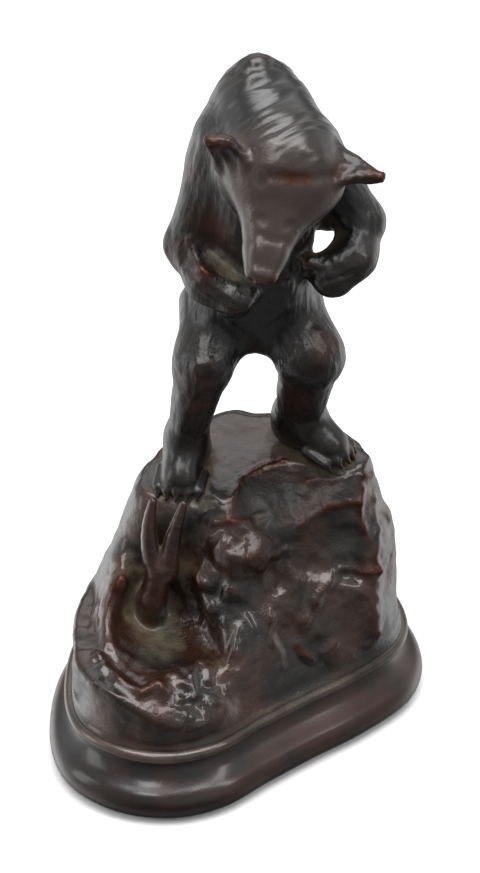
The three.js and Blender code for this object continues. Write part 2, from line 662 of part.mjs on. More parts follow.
// Plinth: a torus moulding, a cove above it, and the flat that the rock's casting stands on
const torusMiddle = torusReach - torusRadius;
const plinthTop = 2 * torusRadius + coveHeight;
const coveFoot = 2 * torusRadius - coveOverlap;
const coveReach = coveInset + torusMiddle + coveShoulder;
const cove = Array.from({ length: coveSteps + 1 }, (_, i) => {
  const angle = (i / coveSteps) * (Math.PI / 2);
  const rise = (plinthTop - coveFoot) * (1 - Math.cos(angle));
  return [coveReach * (1 - Math.sin(angle)) - coveInset, coveFoot + rise];
});
const plinthSolid = solidOf(sweepRound([...arc(torusMiddle, torusRadius, torusRadius, torusArc), ...cove]));

// Base of the rock's casting: a bead round its edge, and a narrow ledge
const beadMiddle = plinthTop + jointGap + beadRadius;
const beadProfile = [
  ...arc(-beadRadius, beadMiddle, beadRadius, beadArc),
  [-2 * beadRadius, beadMiddle + ledgeRise],
  [-ledgeInset, beadMiddle + ledgeRise],
];
const baseSolid = solidOf(sweepRound([[-coveInset, plinthTop + jointGap], ...beadProfile]));

const castSolid = solidOf(mergeEdges(surfaceOf(cast), castTriangles)).add(baseSolid);

// A named mesh of a solid, in bronze of its own colour
function meshOf(name, solid, { colour, roughness }) {
  const { vertProperties, triVerts } = solid.getMesh();
  const geometry = new THREE.BufferGeometry();
  geometry.setAttribute("position", new THREE.BufferAttribute(vertProperties, 3));
  geometry.setIndex(new THREE.BufferAttribute(triVerts, 1));
  geometry.computeVertexNormals();
  const material = new THREE.MeshStandardMaterial({ color: colour, roughness, metalness: bronzeMetalness });
  const mesh = new THREE.Mesh(geometry, material);
  mesh.name = name;
  return mesh;
}

const group = new THREE.Group();
group.name = "bronze_bear";
group.add(meshOf("bear_on_rock", castSolid, castBronze));
group.add(meshOf("plinth", plinthSolid, plinthBronze));

export default group;
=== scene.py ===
# %% [markdown]
# # A small bronze bear, modelled from distances
# The real piece is a table bronze: a bear stands on a broken rock, bows its head and looks at a claw that
# reaches out of a hollow, and a moulded plinth carries them all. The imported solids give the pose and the
# sizes. This lesson makes the cast surface on top of them: hair, toes, broken stone, and a dark waxed patina
# that is worn at its edges.

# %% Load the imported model
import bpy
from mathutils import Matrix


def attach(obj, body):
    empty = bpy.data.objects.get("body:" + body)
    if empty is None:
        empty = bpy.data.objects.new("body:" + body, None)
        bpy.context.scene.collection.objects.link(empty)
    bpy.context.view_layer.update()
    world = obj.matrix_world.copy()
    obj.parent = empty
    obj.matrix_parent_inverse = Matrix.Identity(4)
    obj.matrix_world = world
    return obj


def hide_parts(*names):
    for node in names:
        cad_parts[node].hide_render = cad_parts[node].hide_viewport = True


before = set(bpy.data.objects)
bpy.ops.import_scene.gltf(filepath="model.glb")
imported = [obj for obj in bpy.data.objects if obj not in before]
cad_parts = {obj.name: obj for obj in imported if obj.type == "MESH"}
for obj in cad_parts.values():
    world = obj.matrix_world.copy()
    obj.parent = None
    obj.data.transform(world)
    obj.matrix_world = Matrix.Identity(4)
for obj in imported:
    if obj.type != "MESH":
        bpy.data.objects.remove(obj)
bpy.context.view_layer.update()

from concurrent.futures import ThreadPoolExecutor

import bpy
import numpy as np
from mathutils import Matrix, Vector

MM = 0.001


# %% [markdown]
# ## Clay in numbers
# A sculptor presses lumps of wax together and smooths the seams with a thumb. Here each lump is a function
# that gives the distance to its surface, below zero inside, for a whole array of points at once. Joining two
# lumps is a minimum with a soft seam, and cutting one from the other is a maximum. In all of them p holds the
# points and d the distances, the last number of a join is the width of its seam, and sizes are millimetres.

# %% Vectors, and join, overlap and carve
def vec(*numbers):
    return np.array(numbers, np.float32)


def unit(v):
    v = np.asarray(v, np.float32)
    return v / np.linalg.norm(v)


def square(v, way):
    v = np.asarray(v, np.float32)
    return unit(v - (v @ way) * way)


def join(a, b, soft):
    h = np.maximum(soft - np.abs(a - b), 0) / soft
    return np.minimum(a, b) - h * h * soft / 4


def overlap(a, b, soft):
    return -join(-a, -b, soft)


def carve(a, b, soft):
    return -join(-a, b, soft)


# %% Limbs, eggs and flat faces
def limb(p, a, b, ra, rb):
    a, b = np.asarray(a, np.float32), np.asarray(b, np.float32)
    ab = b - a
    ap = p - a
    t = np.clip(ap @ ab / (ab @ ab), 0, 1)
    q = ap - t[:, None] * ab
    return np.sqrt((q * q).sum(1)) - (ra + (rb - ra) * t)


def chain(p, joints, radii, soft):
    d = limb(p, joints[0], joints[1], radii[0], radii[1])
    for i in range(1, len(joints) - 1):
        d = join(d, limb(p, joints[i], joints[i + 1], radii[i], radii[i + 1]), soft)
    return d


def egg(p, at, radii):
    q = p - np.asarray(at, np.float32)
    r = np.asarray(radii, np.float32)
    near = np.sqrt(((q / r) ** 2).sum(1))
    slope = np.sqrt(((q / r**2) ** 2).sum(1)) + 1e-9
    return near * (near - 1) / slope


def face(p, at, out):
    return (p - np.asarray(at, np.float32)) @ unit(out)


# %% [markdown]
# ## Noise with a fixed seed
# Stone, hairs and patches need numbers that look random but come out the same on every run. Each whole-number
# corner of a grid gets a value by scrambling its coordinates, and points in between are blended. A call gives
# the points, the size of the grid and, last, its own seed.

# %% Repeatable noise
LOW_WORD = 0xFFFFFFFF
AXIS_FACTORS, MIX_FACTOR = (374761393, 668265263, 2147483647), 1274126177


def scramble(cell, seed):
    c = cell.astype(np.int64)
    h = sum(c[..., axis] * factor for axis, factor in enumerate(AXIS_FACTORS)) + seed * MIX_FACTOR
    h &= LOW_WORD
    h = ((h ^ (h >> 13)) * MIX_FACTOR) & LOW_WORD
    return ((h ^ (h >> 16)) & LOW_WORD).astype(np.float32) / float(LOW_WORD)


def noise(p, size, seed):
    q = p / size
    cell = np.floor(q)
    f = q - cell
    f = f * f * (3 - 2 * f)
    total = np.zeros(len(p), np.float32)
    for corner in np.ndindex(2, 2, 2):
        weight = np.prod(np.where(corner, f, 1 - f), axis=1)
        total += weight * scramble(cell + np.array(corner), seed)
    return 2 * total - 1


def clamp(x):
    return np.clip(x, 0, 1)


def ramp(values, start, over):
    return clamp((values - start) / over)


# %% [markdown]
# ## The outline of the base
# The plinth is not round: it is a rounded triangle with one slightly hollow side, as if drawn round the rock.
# One smooth closed curve in plan serves the plinth, the bead above it and the foot of the rock, so they stay
# parallel.

# %% Smooth closed outline
OUTLINE_POINTS = vec(
    (-36.5, -12), (-33.6, -23.8), (-25, -31.2), (-14, -33.4), (-4, -30.5), (5, -23.4), (14.5, -16.2),
    (26, -8), (35, 1), (37, 11), (32.5, 22.5), (20, 31), (4, 33.4), (-13, 29.5), (-27, 18.5), (-34.8, 4),
)
STEPS_BETWEEN = 12


def smooth_outline(points, steps):
    before, after, later = np.roll(points, 1, 0), np.roll(points, -1, 0), np.roll(points, -2, 0)
    t = (np.arange(steps) / steps)[None, :, None]
    a, b, c, d = before[:, None], points[:, None], after[:, None], later[:, None]
    curve = 2 * b + (c - a) * t + (2 * a - 5 * b + 4 * c - d) * t**2 + (3 * b - a - 3 * c + d) * t**3
    return (curve / 2).reshape(-1, 2)


outline = smooth_outline(OUTLINE_POINTS, STEPS_BETWEEN)
print("outline", outline.min(0), outline.max(0), "mm")


# %% Distance in plan, kept as a table
PLAN_REACH, PLAN_STEP = 60.0, 0.5


def plan_table():
    line = np.arange(-PLAN_REACH, PLAN_REACH + PLAN_STEP, PLAN_STEP, dtype=np.float32)
    x, y = (g.ravel() for g in np.meshgrid(line, line, indexing="ij"))
    best = np.full(len(x), np.inf, np.float32)
    inside = np.zeros(len(x), bool)
    for a, b in zip(outline, np.roll(outline, -1, 0)):
        e = b - a
        t = np.clip(((x - a[0]) * e[0] + (y - a[1]) * e[1]) / (e @ e), 0, 1)
        best = np.minimum(best, (x - a[0] - t * e[0]) ** 2 + (y - a[1] - t * e[1]) ** 2)
        if a[1] != b[1]:
            inside ^= ((a[1] > y) != (b[1] > y)) & (x < e[0] * (y - a[1]) / e[1] + a[0])
    return np.where(inside, -np.sqrt(best), np.sqrt(best)).reshape(len(line), -1)


plan = plan_table()
LAST_CELL = len(plan) - 1.001


def plan_distance(p):
    q = np.clip((p[:, :2] + PLAN_REACH) / PLAN_STEP, 0, LAST_CELL)
    i = q.astype(int)
    f = q - i
    low = plan[i[:, 0], i[:, 1]] * (1 - f[:, 0]) + plan[i[:, 0] + 1, i[:, 1]] * f[:, 0]
    high = plan[i[:, 0], i[:, 1] + 1] * (1 - f[:, 0]) + plan[i[:, 0] + 1, i[:, 1] + 1] * f[:, 0]
    return low * (1 - f[:, 1]) + high * f[:, 1]


# %% [markdown]
# ## The bear's trunk, neck and limbs
# The bear stands like a person, hunched, with bent knees. Round lumps along a skeleton give the same pose as
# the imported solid. The joints are stated once and every lump hangs on them, so a paw or a knee can be moved
# by one line. The waist is pressed in beside the belly, and a fold of skin joins the chest to the arm above.

# %% Skeleton
PELVIS, BELLY, CHEST = vec(3.8, 19, 95), vec(4.3, 16, 107), vec(5, 16, 122)
YOKE, HUMP = vec(4.6, 17.5, 134), vec(3.8, 20, 148.3)
CROWN, NOSE = vec(10.2, 6, 138), vec(4.9, -10.5, 121.6)
EAR_LINE = vec(33.2, -1, -7.3)
LEGS = {
    "right": dict(hip=vec(-3.8, 17, 93.5), knee=vec(-6.6, 8.5, 87), ankle=vec(-10.6, 12, 65),
                  heel=vec(-10.2, 14, 60.5), ball=vec(-11.7, 6, 59), radii=(8, 5.6, 3.9)),
    "left": dict(hip=vec(10.5, 17, 93), knee=vec(14.9, 10.5, 87.5), ankle=vec(13, 18, 66),
                 heel=vec(12.4, 19.5, 63), ball=vec(19.6, 13.8, 61.4), radii=(7.6, 6.3, 5.0)),
}
ARMS = {
    "right": dict(joints=vec((-2.1, 17, 134), (-9.4, 12.8, 112.5), (-5.6, 5.5, 108.6), (-0.3, 2.6, 106.8)),
                  radii=(6.8, 4.5, 4.0, 4.2)),
    "left": dict(joints=vec((15.3, 18, 132.2), (24.7, 15.5, 116.4), (23.2, 9.8, 112), (19.2, 7.6, 109)),
                 radii=(5.4, 4.2, 4.3, 4.6)),
}
MUZZLE_WAY = unit(NOSE - CROWN)
ACROSS_WAY = square(EAR_LINE, MUZZLE_WAY)
BROW_WAY = np.cross(MUZZLE_WAY, ACROSS_WAY)
HEAD_AXES = np.stack([ACROSS_WAY, MUZZLE_WAY, BROW_WAY])
NAPE_TOP = CROWN - 5 * BROW_WAY - MUZZLE_WAY
NAPE_FOOT = YOKE + vec(0, 2, 7)


def on_head(*place):
    return CROWN + np.asarray(place, np.float32) @ HEAD_AXES


# %% Trunk and neck
WAIST, ARM_FOLD = vec(20.8, 15, 110.6), vec(17.5, 19, 118.4)


def trunk(p):
    d = egg(p, PELVIS, (11, 11, 11))
    d = join(d, egg(p, BELLY, (10.8, 11, 13)), 8)
    d = join(d, egg(p, CHEST, (11.5, 11.5, 14)), 8)
    d = join(d, egg(p, YOKE, (10.5, 10, 11)), 8)
    d = carve(d, egg(p, WAIST, (6.4, 9, 5.2)), 2.5)
    d = join(d, egg(p, ARM_FOLD, (5, 3.5, 6)), 2)
    return join(d, limb(p, YOKE + vec(0, 3, 4), HUMP, 8, 2.6), 5)


def neck(p):
    return limb(p, NAPE_TOP, NAPE_FOOT, 10.2, 8.5)


# %% Legs and feet
def leg(p, bones):
    return chain(p, [bones["hip"], bones["knee"], bones["ankle"]], bones["radii"], 4)


HEEL_RADIUS, INSTEP_RADIUS, BALL_RADIUS = 4.3, 3.0, 3.4
TOE_COUNT, TOE_SPREAD, TOE_LONG, TOE_DROP = 5, 4.2, 3.4, 1.1
TOE_CURVE, TOE_SLOPE, NAIL_LONG, NAIL_DROP = 1.6, 0.6, 1.6, 1.3


def foot(p, bones):
    radii = (HEEL_RADIUS, bones["radii"][2], INSTEP_RADIUS)
    d = chain(p, [bones["heel"], bones["ankle"], bones["ball"]], radii, 3)
    d = join(d, limb(p, bones["heel"], bones["ball"], HEEL_RADIUS, BALL_RADIUS), 3)
    way = unit((bones["ball"] - bones["heel"]) * vec(1, 1, 0))
    across = np.cross(way, vec(0, 0, 1))
    for t in np.linspace(-1, 1, TOE_COUNT):
        root = bones["ball"] + TOE_SPREAD * t * across - TOE_CURVE * t * t * way
        root = root - vec(0, 0, TOE_SLOPE * abs(t))
        tip = root + TOE_LONG * way - vec(0, 0, TOE_DROP)
        d = join(d, limb(p, root - way, tip, 1.5, 1.25), 0.7)
        nail_tip = tip + NAIL_LONG * way - vec(0, 0, NAIL_DROP)
        d = join(d, limb(p, tip + 0.5 * way, nail_tip, 0.8, 0.4), 0.3)
    return d


# %% Arms and paws
THUMB_ROOT, THUMB_TIP = vec(20, 7.8, 112.4), vec(14.6, 6.6, 112.3)


def arm(p, side):
    d = chain(p, ARMS[side]["joints"], ARMS[side]["radii"], 2.5)
    if side == "left":
        d = join(d, limb(p, THUMB_ROOT, THUMB_TIP, 2.8, 1.2), 1.5)
    return d


# %% [markdown]
# ## The head
# Seen from above the face is a long shield: broad between the ears, flat across the brow and narrow at the
# muzzle. It has its own axes, across, along the muzzle and out of the brow, so that both eyes and both
# nostrils are one call each.

# %% Skull, muzzle and nose
def head(p):
    q = (p - CROWN) @ HEAD_AXES.T
    d = egg(q, (0, 2.5, -4.5), (12, 9.5, 9))
    d = join(d, limb(q * vec(0.92, 1, 1.15), vec(0, 5, -5), vec(0, 18, -3.6), 9.2, 4), 4)
    bar = limb(q, vec(0, 13, -3.2), vec(0, 22, -3.0), 4.5, 3.5)
    d = join(d, overlap(bar, face(q, (0, 20, 0.1), (0, 0.1, 1)), 1.5), 2.5)
    d = join(d, egg(q, (0, 23.5, -2.3), (3.2, 1.8, 2.2)), 0.6)
    for s in (-1, 1):
        d = carve(d, egg(q, (4.1 * s, 14.0, 1.8), (1.9, 1.1, 0.9)), 1.2)
        d = join(d, egg(q, (4.1 * s, 14.1, -0.7), (0.9, 0.6, 0.7)), 0.3)
        d = carve(d, egg(q, (1.6 * s, 25.1, -1.9), (0.7, 0.6, 0.5)), 0.3)
    return carve(d, limb(q, vec(-3.2, 23.8, -4.8), vec(3.2, 23.8, -4.8), 0.4, 0.4), 0.4)


# %% Pointed ears
EARS = [
    dict(tip=vec(-5, 4, 142.4), top=vec(-1.4, 3.4, 142.3),
         rim=on_head(-7, 4.4, 1.2), edge=on_head(-12, 4.6, -3), sink=1.2),
    dict(tip=vec(27.5, 3.1, 134.8), top=vec(23.6, 3.2, 135),
         rim=on_head(9, 3, 0), edge=on_head(8.2, -3.4, -1.2), sink=0.8),
]


def ear(p, tip, top, rim, edge, sink):
    out = unit(np.cross(rim - tip, edge - tip))
    out = out * np.sign(out @ BROW_WAY)
    d = join(chain(p, [rim, top, tip], (1.3, 1.2, 1.0), 0.4), limb(p, edge, tip, 1.5, 0.8), 0.8)
    root = (rim + edge) / 2 - sink * out
    web = join(limb(p, root, tip - 0.5 * out, 2.4, 0.8),
               limb(p, root, (top + tip) / 2 - 0.7 * out, 2.4, 1.1), 1.5)
    return join(d, web, 0.7)


# %% The whole bear
ARMPIT = {"right": 3, "left": 3.6}


def bear(p):
    d = join(trunk(p), neck(p), 5)
    for side in ("right", "left"):
        d = join(d, join(leg(p, LEGS[side]), foot(p, LEGS[side]), 2), 4)
        d = join(d, arm(p, side), ARMPIT[side])
    d = join(d, head(p), 3)
    for shape in EARS:
        d = join(d, ear(p, **shape), 1.5)
    return d


# %% [markdown]
# ## The rock
# The rock is two boulders with flat broken faces, a low terrace in front with a hollow, and a flank beside
# it. A convex boulder is what several half-spaces share, so a broken face is one point and the way it looks.
# Three knobs stand out of the broken front, each an egg with its top cut flat, and one nearly level cut makes
# the ledge that the bear stands on.

# %% Knobs, flank, skirt and recess
KNOB = vec(1.2, -3.2, 47.2)
SMALL_KNOBS = (vec(-5.1, -4.0, 39.4), vec(-5.0, -6.2, 35.0))
FACET_WAY = unit(vec(-0.05, -0.53, 0.85))


def boss(p, place, radii, reach):
    return overlap(egg(p, place, radii), face(p, place + reach * FACET_WAY, FACET_WAY), 0.8)


def flank(p, shell):
    bank = overlap(face(p, (-22.5, -6, 38), (0.88, -0.3, 0.37)),
                   face(p, (-24, -4, 42), (0.1, -0.64, 0.76)), 2)
    claw_wall = join(face(p, (-12, 1.5, 56), (-0.12, -0.965, 0.15)), bank, 3)
    left = overlap(shell, face(p, (-27.4, 5, 37.3), (-0.93, -0.05, 0.36)), 3)
    return overlap(overlap(left, face(p, (0, 10, 50), (1, 0, 0.1)), 2), claw_wall, 6)


def skirt(p, block):
    outer = overlap(block, face(p, (5, -14.5, 27), (0.5, -0.74, 0.45)), 1.5)
    upper = overlap(face(p, (-1.8, -15, 28), (-0.97, 0.1, 0.2)), p[:, 2] - 35, 2)
    return overlap(outer, upper, 1.5)


def recess(p):
    ends = overlap(face(p, (27, 2, 44), (1, 0.35, 0)), -face(p, (13, -2, 45), (0.9, 0.5, -0.5)), 1)
    floor = overlap(ends, -face(p, (20, -2, 37), (0.35, 0.2, 1)), 3)
    return overlap(-face(p, (19, 0, 40), (0.45, -0.954, 0.264)), floor, 3)


# %% Boulders, terrace and hollow
ROCK_INSET, ROCK_BOTTOM, FOOT_TOP = 2.0, 15.2, 16.4
FRONT_CORNER = (13.2, 1.2, 50)
KNOB_SIZE, KNOB_REACH = (6, 4.8, 5), 3.7
SMALL_SIZE, SMALL_REACH = (3.4, 2.8, 3), 2.0


def rock(p):
    wall = plan_distance(p) + ROCK_INSET
    corners = overlap(face(p, (-20, 23.5, 17), (-0.72, 0.7, 0.2)),
                      face(p, (26, 26, 17), (0.75, 0.72, 0.14)), 4)
    back = overlap(face(p, (4, 31, 17), (0, 1, 0.05)), corners, 4)
    shell = overlap(face(p, (5, 15, 58), (-0.03, -0.06, 1)), back, 3)
    right = face(p, FRONT_CORNER, (0.35, -0.854, 0.384))
    front = overlap(right, face(p, (-2, -12.2, 34), (-0.787, -0.535, 0.305)), 1.5)
    block = overlap(shell, face(p, (34.1, 10, 31.6), (0.876, -0.416, 0.245)), 1.5)
    d = overlap(block, front, 1.5)
    chipped = overlap(-face(p, FRONT_CORNER, (0.277, -0.397, 0.876)),
                      -face(p, FRONT_CORNER, (-0.14, -0.532, 0.833)), 2)
    d = carve(carve(d, chipped, 1.5), recess(p), 1)
    d = join(d, boss(p, KNOB, KNOB_SIZE, KNOB_REACH), 2.5)
    for place in SMALL_KNOBS:
        d = join(d, boss(p, place, SMALL_SIZE, SMALL_REACH), 2)
    d = join(d, overlap(flank(p, shell), wall, 2), 5)
    d = overlap(d, face(p, (5, 15, 58.2), (-0.03, -0.06, 1)), 1.5)
    terrace = overlap(wall, face(p, (-14, -20, 28.5), (0.08, 0, 1)), 1.5)
    terrace_end = overlap(face(p, (0.6, -18, 25), (0.72, -0.5, 0.48)),
                          face(p, (-6, -19, 28.3), (0.3, -0.5, 0.81)), 1.5)
    d = join(d, overlap(terrace, terrace_end, 1.2), 2)
    d = join(d, overlap(skirt(p, block), wall, 1.5), 2)
    hollow = overlap(egg(p, (-16, -12, 35), (10.5, 11, 9)),
                     -face(p, (-14, -14, 27.8), (0.05, -0.06, 1)), 3)
    d = carve(d, hollow, 2)
    d = join(overlap(d, wall, 2), overlap(wall, p[:, 2] - FOOT_TOP, 1), 3)
    return np.maximum(d, ROCK_BOTTOM - p[:, 2])


# %% The claw
CLAW_STEM = vec((-18.4, -3.5, 23), (-17.8, -3.8, 34), (-15.8, -3.4, 42.5))
CLAW_PRONGS = [
    vec((-16.6, -3.4, 42), (-19.4, -3.2, 50), (-17.2, -1.2, 58.3)),
    vec((-14.4, -3.4, 42), (-13.4, -3.2, 51), (-10.9, -1.2, 57.6)),
]


def bent(start, pull, end, steps):
    t = np.linspace(0, 1, steps + 1)[:, None]
    return start * (1 - t) ** 2 + 2 * pull * t * (1 - t) + end * t**2


def claw(p):
    d = chain(p, CLAW_STEM, (3.4, 2.8, 2.9), 2)
    for prong in CLAW_PRONGS:
        d = join(d, chain(p, bent(*prong, 6), np.linspace(2.5, 0.9, 7), 0.1), 0.8)
    return d


def rock_and_claw(p):
    return join(rock(p), claw(p), 1.0)


def whole(p):
    return np.minimum(bear(p), rock_and_claw(p))


# %% [markdown]
# ## From distances to a mesh
# The distance is sampled on a fine grid, but only in the blocks that the surface can cross. Each crossed cell
# gets one vertex at the mean of its crossings, each crossed edge gets one quad, and a last step slides every
# vertex onto the surface. It is the method that remeshing tools use, written out so that every step can be
# seen.

# %% Sample the blocks near the surface
BLOCK, BLOCK_REACH, BLOCKS_AT_ONCE = 8, 1.35, 150
THREADS, CHUNKS = 4, 48


def in_threads(work, chunks):
    with ThreadPoolExecutor(THREADS) as pool:
        return list(pool.map(work, chunks))


def measured(field, points):
    return np.concatenate(in_threads(field, np.array_split(points.astype(np.float32), CHUNKS)))


def sample(field, low, high, step):
    low = np.asarray(low, np.float32)
    reach = step * BLOCK
    blocks = np.ceil((np.asarray(high) - low) / reach).astype(int)
    values = np.full(blocks * BLOCK + 1, reach, np.float32)
    corner = np.stack(np.meshgrid(*[np.arange(n) for n in blocks], indexing="ij"), -1).reshape(-1, 3) * BLOCK
    middle = measured(field, low + (corner + BLOCK / 2) * step)
    for i, j, k in corner[middle < -BLOCK_REACH * reach]:
        values[i:i + BLOCK + 1, j:j + BLOCK + 1, k:k + BLOCK + 1] = -reach
    local = np.stack(np.meshgrid(*[np.arange(BLOCK + 1)] * 3, indexing="ij"), -1).reshape(-1, 3)
    near = corner[np.abs(middle) <= BLOCK_REACH * reach]

    def fill(some):
        at = (some[:, None] + local[None]).reshape(-1, 3)
        return at, field((low + at * step).astype(np.float32))

    for at, d in in_threads(fill, np.array_split(near, max(1, len(near) // BLOCKS_AT_ONCE))):
        values[at[:, 0], at[:, 1], at[:, 2]] = d
    return values


# %% One vertex a cell, one quad an edge
NEXT_CORNER = (4, 2, 1)


def surface(field, low, high, step):
    values = sample(field, low, high, step)
    inside = values < 0
    cells = np.array(inside.shape) - 1
    corners = list(np.ndindex(2, 2, 2))
    part = [np.s_[c[0]:c[0] + cells[0], c[1]:c[1] + cells[1], c[2]:c[2] + cells[2]] for c in corners]
    count = sum(inside[s].astype(np.int8) for s in part)
    where = np.argwhere((count > 0) & (count < 8))
    number = np.full(cells, -1, np.int64)
    number[tuple(where.T)] = np.arange(len(where))
    value = [values[s][tuple(where.T)] for s in part]
    total, crossings = np.zeros((len(where), 3), np.float32), np.zeros(len(where), np.float32)
    for i, c in enumerate(corners):
        for axis in range(3):
            if c[axis]:
                continue
            a, b = value[i], value[i + NEXT_CORNER[axis]]
            cut = (a < 0) != (b < 0)
            place = np.tile(vec(*c), (len(where), 1))
            place[:, axis] += np.where(cut, a / np.where(cut, a - b, 1), 0)
            total += place * cut[:, None]
            crossings += cut
    points = np.asarray(low, np.float32) + (where + total / crossings[:, None]) * step
    quads = np.concatenate([quads_across(inside, number, axis) for axis in range(3)])
    return points.astype(np.float32), quads


def quads_across(inside, number, axis):
    first = inside[tuple(np.s_[:-1] if k == axis else np.s_[1:-1] for k in range(3))]
    second = inside[tuple(np.s_[1:] if k == axis else np.s_[1:-1] for k in range(3))]
    edge = np.argwhere(first != second)
    outward = first[tuple(edge.T)]
    edge += np.array([k != axis for k in range(3)])
    u, v = np.eye(3, dtype=int)[(axis + 1) % 3], np.eye(3, dtype=int)[(axis + 2) % 3]
    quad = np.stack([number[tuple((edge - a * u - b * v).T)] for a, b in ((1, 1), (0, 1), (0, 0), (1, 0))], 1)
    return np.where(outward[:, None], quad, quad[:, ::-1])


# %% Normals, smoothing and the last slide
def normals_of(points, quads):
    across = np.cross(points[quads[:, 2]] - points[quads[:, 0]], points[quads[:, 3]] - points[quads[:, 1]])
    total = np.zeros_like(points)
    for k in range(4):
        np.add.at(total, quads[:, k], across)
    return total / np.maximum(np.linalg.norm(total, axis=1), 1e-9)[:, None]


def smoothed(values, quads, rounds):
    edges = np.concatenate([quads[:, [k, (k + 1) % 4]] for k in range(4)])
    share = np.bincount(edges[:, 0], minlength=len(values)).astype(np.float32)[:, None]
    flat = values.reshape(len(values), -1).astype(np.float32)
    for _ in range(rounds):
        sums = [np.bincount(edges[:, 0], flat[edges[:, 1], k], len(flat)) for k in range(flat.shape[1])]
        flat = 0.5 * flat + 0.5 * np.stack(sums, 1).astype(np.float32) / share
    return flat.reshape(values.shape)


SLIDES = 2


def cast_surface(field, low, high, step):
    points, quads = surface(field, low, high, step)
    for _ in range(SLIDES):
        slide = np.clip(measured(field, points), -step, step)
        points = points - slide[:, None] * normals_of(points, quads)
    return points, quads, normals_of(points, quads)


# %% [markdown]
# ## Tool marks
# After the lumps come the strokes of a modelling tool: a crease over the brow, grooves between the fingers, a
# ridge on a rim. A mark is a path near the surface with a width and a height, and a negative height is a
# groove.

# %% A mark along a path
MARK_SLACK = 2


def mark(p, normals, path, width, height):
    path = np.asarray(path, np.float32)
    reach = 3 * width + MARK_SLACK
    near = ((p > path.min(0) - reach) & (p < path.max(0) + reach)).all(1)
    q, n = p[near], normals[near]
    best = np.full(len(q), np.inf, np.float32)
    for a, b in zip(path, path[1:]):
        t = np.clip((q - a) @ (b - a) / max((b - a) @ (b - a), 1e-6), 0, 1)
        off = q - a - t[:, None] * (b - a)
        out = (off * n).sum(1)
        aside = off - out[:, None] * n
        best = np.minimum(best, (aside * aside).sum(1) + np.maximum(np.abs(out) - MARK_SLACK, 0) ** 2)
    result = np.zeros(len(p), np.float32)
    result[near] = height * np.exp(-best / width**2)
    return result


# %% [markdown]
# ## Hair
# The hair is cut in the wax with a fine tool: strokes that follow each limb, arcs across the neck, and a
# whorl on the hip. Noise that is averaged along the way the hair lies turns into such strokes, and the arcs
# are noise laid out round the neck. A fold runs under the hump, drawn with the other tool marks.

# %% The way the hair lies
THIGH_RADII, SHIN_RADII, WAY_BLEND = (8.4, 6), (5.2, 4), 1.2
DOWN_THE_BACK = vec(0, 0.1, -1)


def hair_way(p, normals):
    around = np.cross(unit(NAPE_FOOT - NAPE_TOP), normals)
    parts = [(trunk(p), DOWN_THE_BACK), (neck(p) - 1, around), (head(p), -MUZZLE_WAY)]
    for side in ("right", "left"):
        bones, joints, radii = LEGS[side], ARMS[side]["joints"], ARMS[side]["radii"]
        for start, end, ends in (("hip", "knee", THIGH_RADII), ("knee", "ankle", SHIN_RADII)):
            parts.append((limb(p, bones[start], bones[end], *ends), unit(bones[end] - bones[start])))
        parts.append((foot(p, bones), unit(bones["ball"] - bones["heel"])))
        for i in range(3):
            bone = joints[i + 1] - joints[i]
            parts.append((limb(p, joints[i], joints[i + 1], radii[i], radii[i + 1]), unit(bone)))
    total = sum(np.exp(-np.clip(d, -4, 12) / WAY_BLEND)[:, None] * way for d, way in parts)
    total = total - (total * normals).sum(1)[:, None] * normals
    return total / np.maximum(np.linalg.norm(total, axis=1), 1e-6)[:, None]


NECK_ROUND, ARC_WANDER, WANDER_SIZE, ARC_SHARPNESS = 10, 1.2, 7.0, 2.5


def neck_arcs(p, size, length, seed):
    axis = unit(NAPE_FOOT - NAPE_TOP)
    across = square(vec(1, 0, 0), axis)
    offset = p - NAPE_TOP
    angle = np.arctan2(offset @ np.cross(axis, across), offset @ across)
    along = offset @ axis + ARC_WANDER * noise(p, WANDER_SIZE, seed + 1)
    place = np.stack([along / size, angle * NECK_ROUND / length, np.zeros_like(angle)], 1)
    return np.tanh(ARC_SHARPNESS * noise(place.astype(np.float32), 1.0, seed))


STROKE_STEPS, STROKE_SHARPNESS = 9, 3.2


def strokes(p, way, size, length, seed):
    steps = np.linspace(-length / 2, length / 2, STROKE_STEPS)
    total = np.mean([noise(p + s * way, size, seed) for s in steps], axis=0)
    return np.tanh(STROKE_SHARPNESS * total)


# %% Tool marks on the bear
WHORL, WHORL_START, WHORL_END, WHORL_STEPS = vec(-5.3, 6.2, 94.2), -80, 70, 9
SIDEWAYS, UPWARD = vec(1, 0, 0), vec(0, 0.62, 0.79)


def whorl_arc(radius):
    angles = np.radians(np.linspace(WHORL_START, WHORL_END, WHORL_STEPS))
    return [WHORL + radius * (np.cos(a) * SIDEWAYS + np.sin(a) * UPWARD) for a in angles]


